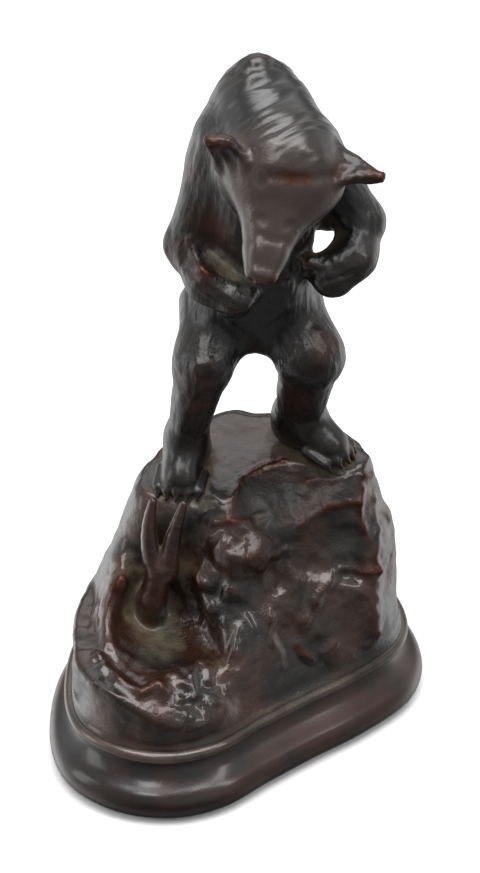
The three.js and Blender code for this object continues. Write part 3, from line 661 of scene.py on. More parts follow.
BEAR_MARKS = [
    # Brow, muzzle and forehead
    ([on_head(-3, 6, 4), on_head(3.5, 4.6, 4.2), on_head(9.5, 2.6, 2.5)], 1.2, -0.4),
    ([on_head(-6.5, 5.4, 2), on_head(-4.5, 7.5, 3)], 1.0, -0.3),
    ([on_head(-4, 16.6, 1), on_head(0, 17.1, 1), on_head(4, 16.6, 1)], 0.9, -0.16),
    ([on_head(-2.6, 17.8, 0.5), on_head(-2, 22.4, 0)], 0.8, 0.08),
    ([on_head(2.6, 17.8, 0.5), on_head(2, 22.4, 0)], 0.8, 0.08),
    ([on_head(2.8, -0.1, 4.5), on_head(5, -0.6, 4)], 1.8, 0.25),
    ([on_head(-6.2, 0.6, 3.5), on_head(-4.5, -0.5, 4)], 1.4, 0.3),
    # Edge of the right forearm
    ([(-9.3, 8.8, 116.6), (-9.1, 8.5, 115.6), (-7.9, 6.5, 113.7), (-6.5, 3.7, 112.3)], 0.9, 0.55),
    ([(-6.6, 3.9, 112.4), (-5.8, 3.2, 111.9)], 1.2, 0.7),
    # Between the fingers of both paws
    ([(23.1, 4.7, 111.5), (17.4, 4.3, 109.8)], 0.5, -0.35),
    ([(23.1, 4.5, 109.8), (17.9, 3.7, 108.5)], 0.5, -0.35),
    ([(22, 4.2, 108.2), (18.8, 3.5, 107.2)], 0.5, -0.3),
    ([(3.2, 0.4, 106.2), (-2.5, -0.6, 105)], 0.5, -0.2),
    ([(2.6, 0, 104.6), (-2.6, 0, 103.2)], 0.5, -0.2),
    # Knees and the right shin
    ([(-7.7, 2.9, 90.2), (-7.9, 3.1, 88.5)], 1.1, 0.45),
    ([(-5.3, 3.3, 90.7), (-4.9, 3.4, 89.2)], 0.9, 0.4),
    ([(17.2, 9.4, 94.6), (18, 9.6, 91)], 1.4, 0.4),
    ([(-4.3, 5.4, 86), (-6.2, 7.6, 77), (-8.2, 8.8, 69)], 0.9, 0.35),
    # Fold and knob of the hump
    ([(0, 18.6, 148.6), (1.3, 18, 150), (3, 17.1, 150.5), (4.9, 17.2, 150.6), (6.5, 18, 150.3),
      (7.6, 19.8, 149.6)], 1, -0.35),
    ([(3.2, 19.4, 151.2), (5.6, 19.7, 151.1)], 1.4, 0.3),
]
WHORL_RADII, WHORL_WIDTH, WHORL_DEPTH = (3.2, 4.3, 5.4, 6.5), 0.42, -0.16
BEAR_MARKS += [(whorl_arc(radius), WHORL_WIDTH, WHORL_DEPTH) for radius in WHORL_RADII]


# %% How high the hair stands
def near_shape(d, soft):
    return clamp(1 - d / soft)


def near_place(p, place, start, reach):
    return clamp(start - np.linalg.norm(p - place, axis=1) / reach)


def spot(p, place, radius):
    return np.exp(-((p - vec(*place)) ** 2).sum(1) / radius**2)


fur = {}
# The chest pocket between the chin and the right arm is painted shade: a red-brown spot and less shine there
# stand for the shadow in that recess.
SHADED_POCKET, SHADED_POCKET_REACH, BELLY_TUFT = vec(-4.8, 8.6, 119.5), 6, vec(9, 6, 113)
SHORT_HAIR, LONG_HAIR, FINE_ARCS, BROAD_ARCS = 0.12, 0.15, 0.15, 0.08
TUFT_GRAIN, TUFT_CLUMPS, SKIN_SWELL, SKIN_RIPPLE = 0.22, 0.25, 0.22, 0.08


def hair_height(p, normals):
    way = hair_way(p, normals)
    face_part = near_shape(head(p), 2.0)
    neck_part = near_shape(neck(p), 2.5) * (1 - face_part)
    feet = near_shape(np.minimum(foot(p, LEGS["right"]), foot(p, LEGS["left"])), 1.5)
    left_paw = near_place(p, ARMS["left"]["joints"][3], 1.6, 6)
    belly = near_place(p, BELLY_TUFT, 1.3, 10)
    bare = clamp(feet + 0.6 * left_paw + 0.8 * face_part)
    fur["hair"] = 1 - bare
    # The face number lays a lighter warm grey on the face: painted sheen for the light its upturned planes
    # catch.
    fur["face"] = 0.8 * face_part
    fur["collar"] = np.maximum(neck_part, 0.5 * near_place(p, HUMP, 1.5, 8))
    # The dull number takes the shine off the pocket, as part of its painted shade.
    fur["dull"] = spot(p, SHADED_POCKET, SHADED_POCKET_REACH)
    long_hair = LONG_HAIR * (1 - 0.7 * neck_part) * strokes(p, way, 2.4, 9.0, 5)
    height = (1 - bare) * ((1 - 0.8 * neck_part) * SHORT_HAIR * strokes(p, way, 1.0, 6.0, 3) + long_hair)
    height += neck_part * (FINE_ARCS * neck_arcs(p, 0.9, 11.0, 7) + BROAD_ARCS * neck_arcs(p, 2.0, 14.0, 40))
    height += belly * (TUFT_GRAIN * noise(p, 1.1, 9) + TUFT_CLUMPS * np.tanh(3 * noise(p, 2.0, 10)))
    uneven = SKIN_SWELL * noise(p, 6.5, 11) + SKIN_RIPPLE * noise(p, 3.0, 12)
    height += (1 - 0.9 * face_part - 0.5 * neck_part) * uneven
    return height + sum(mark(p, normals, *one) for one in BEAR_MARKS)


# %% [markdown]
# ## Wear and dust
# Two numbers go with every vertex. Wear is high where the surface stands out from its surroundings, because
# that is what hands and cloths reach, and in a few spots that are rubbed most; one more spot, in the chest
# pocket, is painted shade. Dust is high where nearby surfaces close in, and most where the spot looks up. The
# bear carries four more numbers, for its hair, its face with a painted sheen, its collar and its dull pocket,
# which is dulled as painted shade, and the rock one, for its dull slope.

# %% Wear and dust of a vertex
FEW_ROUNDS, MANY_ROUNDS, BROAD_SHARE = 5, 30, 0.35
PRINTED_SHARES = (50, 90, 99)


def wear_of(points, quads, normals, low, high, spots, share):
    small = ((points - smoothed(points, quads, FEW_ROUNDS)) * normals).sum(1)
    broad = ((points - smoothed(points, quads, MANY_ROUNDS)) * normals).sum(1)
    for kind, height in (("small", small), ("broad", broad)):
        print("  stands out,", kind, np.round(np.percentile(height, PRINTED_SHARES), 3))
    wear = share * clamp((small + BROAD_SHARE * broad - low) / (high - low))
    # The spots can add painted light as well as rubbing: the bear's chest-pocket spot is painted shade.
    for place, radius, strength in spots:
        wear += strength * spot(points, place, radius)
    return clamp(wear)


DUST_SPOTS = [
    ((-16, -14, 28), 8, 0.5), ((-24, -4, 34), 3, 0.3), ((-2, 7, 111), 4, 0.4), ((17, 15, 119), 4, 0.3),
]
DUST_REACHES = (1.0, 2.5, 5.0, 9.0)
DUST_BELOW, DUST_ABOVE = 0.55, 0.45


def dust_of(points, normals):
    closed = np.zeros(len(points), np.float32)
    for reach in DUST_REACHES:
        d = measured(whole, points + reach * normals)
        closed += clamp(1 - d / reach) / len(DUST_REACHES)
    for place, radius, strength in DUST_SPOTS:
        closed += strength * spot(points, place, radius)
    return closed * (DUST_BELOW + DUST_ABOVE * clamp(normals[:, 2] + 0.3))


# %% Vertices and quads become a piece
def to_piece(name, node, slot, points, quads, **attributes):
    mesh = bpy.data.meshes.new(name)
    mesh.vertices.add(len(points))
    mesh.vertices.foreach_set("co", (points * MM).ravel())
    mesh.loops.add(4 * len(quads))
    mesh.loops.foreach_set("vertex_index", quads.ravel().astype(np.int32))
    mesh.polygons.add(len(quads))
    mesh.polygons.foreach_set("loop_start", np.arange(0, 4 * len(quads), 4, dtype=np.int32))
    mesh.update(calc_edges=True)
    mesh.validate()
    mesh.shade_smooth()
    for key, values in attributes.items():
        mesh.attributes.new(key, "FLOAT", "POINT").data.foreach_set("value", values.astype(np.float32))
    piece = bpy.data.objects.new(name, mesh)
    bpy.context.collection.objects.link(piece)
    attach(piece, "root")
    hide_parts(node)
    print(name, len(points), "vertices", 2 * len(quads), "triangles")
    return piece


# %% [markdown]
# ## Casting the bear
# The lumps become a mesh, the hair and the tool marks push its vertices out or in, and wear and dust are
# measured on the result. Most spots are the places that are rubbed most on the real piece, such as the brow,
# the ears, the chin, the shins and the forearms; the spot in the chest pocket is painted shade.

# %% Make the bear
BEAR_STEP, BEAR_LOW, BEAR_HIGH = 0.39, (-18, -17, 52), (33, 33, 154)
BEAR_SPOTS = [
    (on_head(-1.5, 5.6, 4.2), 1.5, 0.7), (on_head(1, 5.2, 4.2), 1.6, 0.9), (on_head(3.8, 4.7, 4.2), 1.4, 0.7),
    (on_head(0, 24.6, -3), 1.8, 0.4), ((26.6, 3.2, 135.2), 2.2, 0.6),
    (on_head(10, 2, 1), 3, 0.5), ((-2.8, 3.2, 141.4), 2.4, 0.6), ((-6.4, 3.6, 112), 2.0, 0.35),
    # The spot in the chest pocket below is painted shade, not rubbing.
    ((23.4, 11.4, 60), 3.4, 0.3), ((17.8, 9.8, 92.4), 3, 0.4), (SHADED_POCKET, 5, 0.5),
    ((4.5, -9.5, 118.4), 1.3, 0.7), ((6.8, -9.9, 119.4), 1.3, 0.7), ((2.6, -8.6, 119.4), 1.3, 0.6),
    ((-9.2, 4.6, 80.5), 5, 0.35), ((-5.4, 3, 86.5), 3, 0.3), ((13, 8, 78.5), 6, 0.3),
    ((17.2, 5.6, 91.5), 3, 0.35),
    ((-12.6, 9.4, 112.5), 4, 0.35), ((-8.6, 13, 131), 4, 0.3), ((-6.5, 2.4, 111), 2.5, 0.35),
]
BEAR_WEAR_LOW, BEAR_WEAR_HIGH = 0.09, 0.4
points, quads, normals = cast_surface(bear, BEAR_LOW, BEAR_HIGH, BEAR_STEP)
points = points + hair_height(points, normals)[:, None] * normals
normals = normals_of(points, quads)
hairy_share = 0.3 + 0.7 * fur["hair"]
bear_piece = to_piece(
    "bear", "bear_on_rock", "bear_bronze", points, quads,
    wear=wear_of(points, quads, normals, BEAR_WEAR_LOW, BEAR_WEAR_HIGH, BEAR_SPOTS, hairy_share),
    dust=dust_of(points, normals), **fur,
)


# %% [markdown]
# ## Broken stone
# The stone was modelled, not copied from nature: wide soft planes, a few ridges that stand proud and catch
# the light, and a rough broken band below the ledge where the bear stands. The ledge itself is nearly smooth.
# Thin ridges along the broken edges are rubbed to red, in patches.

# %% Tool marks on the rock
ROCK_MARKS = [
    ([(-23.6, -3.2, 41.5), (-26.0, -4.7, 37.3), (-28.0, -4.6, 31.6), (-29.5, -7.6, 30.1), (-30, -12.1, 29.9),
      (-28, -16.2, 30.8)], 1.8, 0.6),
    ([(-28.9, -17.4, 30.5), (-27.2, -20.4, 29.9), (-24, -23.7, 29.3), (-19.4, -26.9, 28.9),
      (-16.2, -24.2, 28.7), (-13, -29.5, 28.3)], 1.1, 1.1),
    ([(-11.9, -0.3, 37.1), (-7.7, -2.2, 35.1), (-4.1, -5.6, 34.5), (-1.8, -10.9, 31.6),
      (-0.8, -14, 28.9)], 2.0, 0.5),
    ([(9, -2.1, 46.5), (10.1, -3.7, 41.9), (8, -8, 35)], 1.2, -0.6),
    ([(13.2, 4.7, 52.5), (13.2, -2.3, 40.8), (11.1, -6, 33)], 1.1, 0.5),
    ([(28.5, 10.8, 48.9), (28.1, 2.4, 36.7)], 1.0, 0.5),
    ([(16.4, -4.5, 34.4), (17.5, -6.9, 28.1)], 2.0, 0.5),
    ([(7, -10.9, 28.8), (9, -12.5, 24)], 1.6, 0.4),
    ([(10.7, -1.9, 46.1), (8.1, -5.6, 46.2), (5.5, -6.9, 43.3), (7.2, -7.3, 36.8),
      (6.5, -11, 31.5)], 1.3, 0.7),
    ([(20.6, 0, 38.2), (17.9, -3.2, 36), (15.8, -5.2, 33.6), (13.9, -7.4, 30.8)], 1.3, 0.8),
    ([(29, 2.4, 36.1), (29.5, -0.2, 29.2), (29.2, -1.8, 23.2)], 1.5, 0.7),
]
RED_RIDGES = [
    [(1.1, 7.8, 57.5), (5.3, 11.6, 57.1), (10.1, 13.6, 57.4), (15.3, 12.2, 57.2)],
    [(0.7, 6.4, 57.3), (-1.0, 1.7, 56.4), (-1.8, -1.3, 54.2)],
    [(-5.5, -0.5, 52.3), (-1.4, -2.0, 53.5), (2.8, -0.7, 52.7)],
    [(14.7, 9.0, 55.2), (19.5, 9.0, 56.0), (24.1, 9.3, 56.6), (28.8, 12.5, 54.5)],
    [(26.2, 8.3, 53.6), (25.8, 6.4, 49.8), (26.9, 4.6, 44.5), (28.3, 3.2, 39.4), (29.0, 2.7, 36.5)],
    [(13.2, 1.4, 49.9), (16.3, 3.3, 51.0), (19.5, 4.8, 51.9), (22.6, 6.1, 51.9), (25.8, 7.1, 51.4)],
    [(21.7, 0.9, 38.8), (25.6, 1.8, 37.3), (29.0, 2.7, 36.5)],
    [(12.7, -10.2, 26.6), (14.1, -10.6, 24.3), (15.8, -10.4, 22.8)],
    [(18.4, -8.7, 23.5), (20.5, -7.3, 24.3)],
    [(27.5, -3.4, 20.7), (29.6, -1.4, 22.6)],
    [(7.3, -3.1, 49.5), (9.8, -2.6, 46.5), (7.7, -6.1, 46.1), (5.7, -6.8, 43.2)],
]
RIDGE_WIDTH, RIDGE_HEIGHT = 0.9, 0.45


def red_ridges(p, normals):
    return sum(mark(p, normals, path, RIDGE_WIDTH, 1) for path in RED_RIDGES)


ROUGH_SPOTS = [((-8, -24, 26), 7, 0.4), (KNOB, 6, 0.3), ((-26, -20, 29), 5, 0.3), ((-6, -6, 34), 5, 0.35)]
LEDGE_HEIGHT, LEDGE_LEVEL, BAND_FROM, BAND_OVER = 54, 0.8, 26, 14
WIDE_SWELL, UPRIGHT_SWELL, UPRIGHT_STEPS, GRIT = 0.5, 0.4, 0.3, 0.06


def ledges(p, size, seed):
    return np.tanh(4 * noise(p, size, seed))


def rock_height(p, normals):
    bend = np.stack([noise(p, 6.0, 21 + k) for k in range(3)], 1)
    q = (p + 2.0 * bend) * vec(1, 1, 0.7)
    upright = (p + bend) * vec(1, 1, 0.35)
    ledge = ramp(normals[:, 2], LEDGE_LEVEL, 0.12) * ramp(p[:, 2], LEDGE_HEIGHT, 2)
    broken = ramp(p[:, 2], BAND_FROM, BAND_OVER)
    coarse_steps, fine_steps = 0.1 + 0.4 * broken, 0.08 + 0.14 * broken
    height = WIDE_SWELL * noise(q, 10.0, 31) + coarse_steps * ledges(q, 7.0, 32)
    height += fine_steps * ledges(q, 3.4, 33) + UPRIGHT_SWELL * (1 - broken) * noise(upright, 4.2, 36)
    height += UPRIGHT_STEPS * (1 - broken) * ledges(upright, 7.5, 41)
    for place, radius, rough in ROUGH_SPOTS:
        height += rough * spot(p, place, radius) * ledges(p, 1.9, 37)
    height = height * (1 - 0.9 * ledge) + GRIT * noise(p, 1.2, 34)
    height += RIDGE_HEIGHT * red_ridges(p, normals) * (1 + 0.6 * noise(p, 2.0, 38))
    marks = sum(mark(p, normals, *one) for one in ROCK_MARKS)
    return height + marks * (0.75 + 0.7 * noise(p, 2.4, 35))


# %% [markdown]
# ## Casting the rock and the claw
# The claw joins the rock before the mesh is made and keeps a smoother skin. Relief fades out at the foot,
# where the bead covers the edge, and dust lies in that corner all round. The slope below the ledge, beside
# the knob, has lost its shine, so it gets its own number.

# %% Make the rock and the claw
ROCK_STEP, ROCK_LOW, ROCK_HIGH = 0.43, (-37, -35, 14), (37, 35, 62)
STEADY_FROM, STEADY_OVER, CLAW_SHARE = 16.5, 5, 0.08
SLOPE_FOOT, SLOPE_LEFT, SLOPE_RIGHT, SLOPE_LEVEL = 43, -3, 24, 0.93
DUSTY_FOOT, DUSTY_OVER, FOOT_DUST = 17.7, 1.2, 0.5
ROCK_WEAR_LOW, ROCK_WEAR_HIGH, RED_SHARE, RED_PATCHES = 0.08, 0.4, 0.45, 1.2
ROCK_SPOTS = [
    ((-17.5, -5, 36), 4, 0.4), ((-20, -26, 29), 5, 0.25), ((-13, -29.5, 28), 3, 0.5), ((26, 10, 53), 3, 0.3),
]
points, quads, normals = cast_surface(rock_and_claw, ROCK_LOW, ROCK_HIGH, ROCK_STEP)
steady = ramp(points[:, 2], STEADY_FROM, STEADY_OVER) * np.clip(claw(points) / 2, CLAW_SHARE, 1)
slope = ramp(points[:, 2], SLOPE_FOOT, 4) * ramp(points[:, 0], SLOPE_LEFT, 3)
slope *= ramp(normals[:, 2], SLOPE_LEVEL, -0.05)
slope *= ramp(points[:, 0], SLOPE_RIGHT, -4) * clamp(np.linalg.norm(points - KNOB, axis=1) / 3 - 1)
redness = clamp(red_ridges(points, normals) * (RED_SHARE + RED_PATCHES * noise(points, 3.2, 39)))
points = points + (rock_height(points, normals) * steady)[:, None] * normals
normals = normals_of(points, quads)
steady_share = 0.3 + 0.7 * steady
edge_wear = wear_of(points, quads, normals, ROCK_WEAR_LOW, ROCK_WEAR_HIGH, ROCK_SPOTS, steady_share)
rock_piece = to_piece(
    "rock", "bear_on_rock", "bear_bronze", points, quads,
    wear=clamp(edge_wear + redness),
    dust=dust_of(points, normals) + FOOT_DUST * ramp(points[:, 2], DUSTY_FOOT, -DUSTY_OVER), dull=slope,
)


# %% [markdown]
# ## Mouldings
# The plinth's profile is a fat half-round at the foot that runs in one sweep into a hollow, and a dark joint
# line lies above it. A thin bead runs round the rock's own base. A profile carried round the outline makes
# each of them, as a plasterer runs a moulding.

# %% Run a profile round the outline
def arc(middle, height, radius, start, end, steps):
    angle = np.radians(np.linspace(start, end, steps + 1))
    return np.stack([middle + radius * np.cos(angle), height + radius * np.sin(angle)], 1)


MOULDING_ROUNDS, EDGE_LOW, EDGE_OVER, HOLLOW_OVER = 8, 0.02, 0.3, 0.2
CORNER_EDGE, CORNER_DUST = -2.6, 0.8


def run_moulding(name, node, slot, profile, rubbing_and_highlight):
    along = np.roll(outline, -1, 0) - np.roll(outline, 1, 0)
    along /= np.linalg.norm(along, axis=1)[:, None]
    out = np.stack([along[:, 1], -along[:, 0]], 1)
    rows, count = len(profile), len(outline)
    points = np.zeros((count, rows, 3), np.float32)
    points[:, :, :2] = outline[:, None] + out[:, None] * profile[None, :, :1]
    points[:, :, 2] = profile[None, :, 1]
    i, k = (g.ravel() for g in np.meshgrid(np.arange(count), np.arange(rows - 1), indexing="ij"))
    j = (i + 1) % count
    quads = np.stack([i * rows + k, j * rows + k, j * rows + k + 1, i * rows + k + 1], 1)
    points = points.reshape(-1, 3)
    standing = ((points - smoothed(points, quads, MOULDING_ROUNDS)) * normals_of(points, quads)).sum(1)
    offset = np.tile(profile[:, 0], count)
    # On the bead this share of rubbed colour is also a painted highlight along its top.
    wear = rubbing_and_highlight * ramp(standing, EDGE_LOW, EDGE_OVER)
    dust = clamp(-standing / HOLLOW_OVER + CORNER_DUST * (offset < CORNER_EDGE))
    return to_piece(name, node, slot, points, quads, wear=wear, dust=dust)


# %% Plinth and bead
TORUS_RADIUS, TORUS_REACH, TORUS_END, SWEEP = 4.3, 3.5, 58, 2.6
COVE_HEIGHT, COVE_INSET, JOINT_GAP = 5.0, 2.4, 0.3
BEAD_RADIUS, BEAD_END, BEAD_LEDGE, LEDGE_INSET, CORE_INSET = 1.4, 140, (0.55, 0.6), 6.5, 25.0
TORUS_STEPS, COVE_STEPS, BEAD_STEPS, STRAIGHT_DOWN = 28, 16, 16, -90
PLINTH_RUBBED, BEAD_RUB_AND_HIGHLIGHT = 0.35, 0.9
torus_middle = TORUS_REACH - TORUS_RADIUS
plinth_top = 2 * TORUS_RADIUS + COVE_HEIGHT
torus = arc(torus_middle, TORUS_RADIUS, TORUS_RADIUS, STRAIGHT_DOWN, TORUS_END, TORUS_STEPS)
leaving = vec(-np.sin(np.radians(TORUS_END)), np.cos(np.radians(TORUS_END)))
bend = np.linspace(0, 1, COVE_STEPS + 1)[1:, None]
cove_foot, cove_head = torus[-1], vec(-COVE_INSET, plinth_top)
cove = (1 - bend) ** 3 * cove_foot + 3 * bend * (1 - bend) ** 2 * (cove_foot + SWEEP * leaving)
cove += 3 * bend**2 * (1 - bend) * (cove_head - vec(0, SWEEP)) + bend**3 * cove_head
plinth_profile = np.concatenate([[(-CORE_INSET, 0)], torus, cove, [(-CORE_INSET, plinth_top)]])
plinth_piece = run_moulding("plinth_moulding", "plinth", "plinth_bronze", plinth_profile, PLINTH_RUBBED)
bead_middle = plinth_top + JOINT_GAP + BEAD_RADIUS
bead_profile = np.concatenate([
    [(-CORE_INSET, plinth_top + JOINT_GAP), (-COVE_INSET, plinth_top + JOINT_GAP)],
    arc(-BEAD_RADIUS, bead_middle, BEAD_RADIUS, STRAIGHT_DOWN, BEAD_END, BEAD_STEPS),
    [(-2 * BEAD_RADIUS, bead_middle + BEAD_LEDGE[0]), (-LEDGE_INSET, bead_middle + BEAD_LEDGE[1])],
])
# The bead is rubbed strongly where it stands out, so its pale rubbed colour paints a highlight line.
bead_piece = run_moulding("rock_bead", "bear_on_rock", "bear_bronze", bead_profile, BEAD_RUB_AND_HIGHLIGHT)


# %% [markdown]
# ## Patina
# The bronze was darkened with acid and heat, then waxed, so most of what the eye sees is a clear, neutral
# shine on a nearly black brown. Raised edges are rubbed back to red-brown, and dust has stayed in the hollows
# as an olive film. Three colours are painted light: the lighter face is painted sheen, the pale rubbed top of
# the bead is a painted highlight, and the red-brown spot in the chest pocket is painted shade. The fur, the
# rock, the plinth and the bead are four mixes of this one finish. The wax is a clear coat: its amount varies
# from place to place, and its roughness is one number for each mix.

# %% Shader helpers
def add_node(tree, kind, sources, **values):
    node = tree.nodes.new(kind)
    for key, value in values.items():
        setattr(node, key, value)
    for key, source in sources.items():
        if isinstance(source, bpy.types.NodeSocket):
            tree.links.new(source, node.inputs[key])
        else:
            node.inputs[key].default_value = source
    return node


def ranged(tree, source, low, high, start, end):
    sources = {"Value": source, "From Min": low, "From Max": high, "To Min": start, "To Max": end}
    return add_node(tree, "ShaderNodeMapRange", sources).outputs["Result"]


def attribute(tree, name):
    return add_node(tree, "ShaderNodeAttribute", {}, attribute_name=name).outputs["Fac"]


def patches(tree, scale, detail):
    place = add_node(tree, "ShaderNodeTexCoord", {}).outputs["Object"]
    sources = {"Vector": place, "Scale": scale, "Detail": detail}
    return add_node(tree, "ShaderNodeTexNoise", sources).outputs["Fac"]


def combined(tree, operation, parts):
    total = parts[0]
    for part in parts[1:]:
        total = add_node(tree, "ShaderNodeMath", {0: total, 1: part}, operation=operation).outputs[0]
    return total


def product(tree, *parts):
    return combined(tree, "MULTIPLY", parts)


def mixed(tree, factor, a, b):
    return add_node(tree, "ShaderNodeMix", {0: factor, 2: a, 3: b}).outputs[0]


def blended(tree, factor, a, b):
    return add_node(tree, "ShaderNodeMix", {0: factor, 6: a, 7: b}, data_type="RGBA").outputs[2]


# %% Fine grain and fine hair
GRAIN_SCALE, GRAIN_DETAIL, HAIR_DETAIL = 1500, 4, 3.0
ARC_SCALE, HAIR_SCALE = (130, 130, 1500), (1300, 1300, 260)


def grain_relief(tree):
    return patches(tree, GRAIN_SCALE, GRAIN_DETAIL)


def stretched(tree, turn, scale):
    place = add_node(tree, "ShaderNodeTexCoord", {}).outputs["Object"]
    turned = add_node(tree, "ShaderNodeMapping", {"Vector": place, "Rotation": turn}).outputs[0]
    laid = add_node(tree, "ShaderNodeMapping", {"Vector": turned, "Scale": scale}).outputs[0]
    sources = {"Vector": laid, "Scale": 1.0, "Detail": HAIR_DETAIL}
    return add_node(tree, "ShaderNodeTexNoise", sources).outputs["Fac"]


def hair_relief(tree):
    neck_turn = Vector(NAPE_FOOT - NAPE_TOP).rotation_difference(Vector((0, 0, 1))).to_euler()
    arcs = stretched(tree, neck_turn, ARC_SCALE)
    lengthways = stretched(tree, (0, 0, 0), HAIR_SCALE)
    hair = mixed(tree, attribute(tree, "collar"), lengthways, arcs)
    skin_and_painted_sheen = ranged(tree, grain_relief(tree), 0, 1, 0.3, 0.7)
    return mixed(tree, attribute(tree, "hair"), skin_and_painted_sheen, hair)


# %% Waxed bronze
BROWN_SCALE, BARE_SCALE, FILM_SCALE, ROUGH_SCALE = 75, 170, 260, 420
WORN_SPREAD, ROUGH_SPREAD, GRAIN_DISTANCE = 0.15, 0.14, 0.0004
COLLAR_ROUGH, DULL_ROUGH, FILM_ROUGH = 0.42, 0.5, 0.85
COLLAR_WAX, DULL_WAX, FILM_WAX, RUBBED_WAX = 0.75, 0.05, 0.05, 0.1
DARK_METAL, RUBBED_METAL, FILM_METAL = 0.4, 0.8, 0.0


def patina(name, dark, brown, worn_and_painted_light, dust, shine, relief, depth, waxed, gloss, skin_and_painted_sheen=None):
    material = bpy.data.materials.new(name)
    material.use_nodes = True
    tree = material.node_tree
    shader = tree.nodes["Principled BSDF"]
    wear, closed, collar, dull = (attribute(tree, key) for key in ("wear", "dust", "collar", "dull"))
    # Rubbed colour marks real wear on edges, a painted highlight on the bead and painted shade in the chest
    # pocket.
    bare_sources = {0: wear, 1: WORN_SPREAD, 2: patches(tree, BARE_SCALE, 4)}
    bare_patches = add_node(tree, "ShaderNodeMath", bare_sources, operation="MULTIPLY_ADD").outputs[0]
    rub_and_painted_light = product(tree, wear, ranged(tree, bare_patches, 0.34, 0.62, 0.15, 1))
    film_patches = ranged(tree, patches(tree, FILM_SCALE, 5), 0.3, 0.6, 0.2, 1)
    film = product(tree, ranged(tree, closed, 0.36, 0.72, 0, 1), film_patches)
    brown_patches = ranged(tree, patches(tree, BROWN_SCALE, 4), 0.42, 0.62, 0, 1)
    colour = blended(tree, brown_patches, (*dark, 1), (*brown, 1))
    # A lighter colour on the face is painted sheen.
    if skin_and_painted_sheen:
        colour = blended(tree, attribute(tree, "face"), colour, (*skin_and_painted_sheen, 1))
    colour = blended(tree, film, blended(tree, rub_and_painted_light, colour, (*worn_and_painted_light, 1)), (*dust, 1))
    tree.links.new(colour, shader.inputs["Base Color"])
    rough = ranged(tree, patches(tree, ROUGH_SCALE, 3), 0.3, 0.7, shine, shine + ROUGH_SPREAD)
    for part, value in ((collar, COLLAR_ROUGH), (dull, DULL_ROUGH), (film, FILM_ROUGH)):
        rough = mixed(tree, part, rough, value)
    tree.links.new(rough, shader.inputs["Roughness"])
    metal = mixed(tree, film, ranged(tree, rub_and_painted_light, 0, 1, DARK_METAL, RUBBED_METAL), FILM_METAL)
    tree.links.new(metal, shader.inputs["Metallic"])
    wax = ranged(tree, rub_and_painted_light, 0, 1, waxed, RUBBED_WAX)
    for part, value in ((film, FILM_WAX), (collar, COLLAR_WAX), (dull, DULL_WAX)):
        wax = mixed(tree, part, wax, value)
    tree.links.new(wax, shader.inputs["Coat Weight"])
    shader.inputs["Coat Roughness"].default_value = gloss
    bump_sources = {"Height": relief(tree), "Strength": depth, "Distance": GRAIN_DISTANCE}
    grain = add_node(tree, "ShaderNodeBump", bump_sources)
    tree.links.new(grain.outputs["Normal"], shader.inputs["Normal"])
    return material


# %% Four mixes of the finish
WORN, DUST, THIN_DUST = (0.06, 0.014, 0.0055), (0.08, 0.062, 0.036), (0.06, 0.05, 0.03)
# The fur's face colour is a lighter warm grey, a painted sheen on the upturned face.
fur_bronze = patina(
    "fur_bronze", dark=(0.0032, 0.003, 0.0028), brown=(0.0085, 0.006, 0.005), worn_and_painted_light=WORN, dust=DUST,
    shine=0.28, relief=hair_relief, depth=0.55, waxed=0.35, gloss=0.25, skin_and_painted_sheen=(0.042, 0.028, 0.024),
)
rock_bronze = patina(
    "rock_bronze", dark=(0.0065, 0.0052, 0.0045), brown=(0.034, 0.0135, 0.0075), worn_and_painted_light=(0.042, 0.011, 0.005),
    dust=DUST, shine=0.25, relief=grain_relief, depth=0.4, waxed=0.6, gloss=0.15,
)
plinth_bronze = patina(
    "plinth_bronze", dark=(0.006, 0.004, 0.0035), brown=(0.028, 0.008, 0.0045), worn_and_painted_light=WORN,
    dust=THIN_DUST, shine=0.3, relief=grain_relief, depth=0.16, waxed=0.55, gloss=0.17,
)
# The bead's rubbed colour is a pale metal: wear, and a painted highlight line along its top.
bead_bronze_painted_highlight = patina(
    "bead_bronze_painted_highlight", dark=(0.005, 0.0042, 0.0038), brown=(0.02, 0.0095, 0.006), worn_and_painted_light=(0.2, 0.15, 0.12),
    dust=THIN_DUST, shine=0.26, relief=grain_relief, depth=0.16, waxed=0.55, gloss=0.12,
)
bear_piece.data.materials.append(fur_bronze)
rock_piece.data.materials.append(rock_bronze)
plinth_piece.data.materials.append(plinth_bronze)
bead_piece.data.materials.append(bead_bronze_painted_highlight)
print("finishes:", [m.name for m in (fur_bronze, rock_bronze, plinth_bronze, bead_bronze_painted_highlight)])


# %% [markdown]
# ## Studio
# The bronze stands on a white table in soft light. Dark metal shows mostly what it mirrors, so the room is a
# tent of light: a dim ceiling, bright walls behind and at the sides, a fainter wall in front and a pale
# table. Four softboxes add the highlights, and the largest hangs overhead.

# %% Floor
FLOOR_HALF, FLOOR_WHITE, FLOOR_ROUGH = 3.0, 0.9, 0.8


def make_floor():
    corners = [(FLOOR_HALF * x, FLOOR_HALF * y, 0) for x, y in ((-1, -1), (1, -1), (1, 1), (-1, 1))]
    mesh = bpy.data.meshes.new("floor")
    mesh.from_pydata(corners, [], [(0, 1, 2, 3)])
    floor = bpy.data.objects.new("floor", mesh)
    bpy.context.collection.objects.link(floor)
    paint = bpy.data.materials.new("pale_floor")
    paint.use_nodes = True
    shader = paint.node_tree.nodes["Principled BSDF"]
    shader.inputs["Base Color"].default_value = (FLOOR_WHITE, FLOOR_WHITE, FLOOR_WHITE, 1)
    shader.inputs["Roughness"].default_value = FLOOR_ROUGH
    mesh.materials.append(paint)
    floor.visible_glossy = False


make_floor()

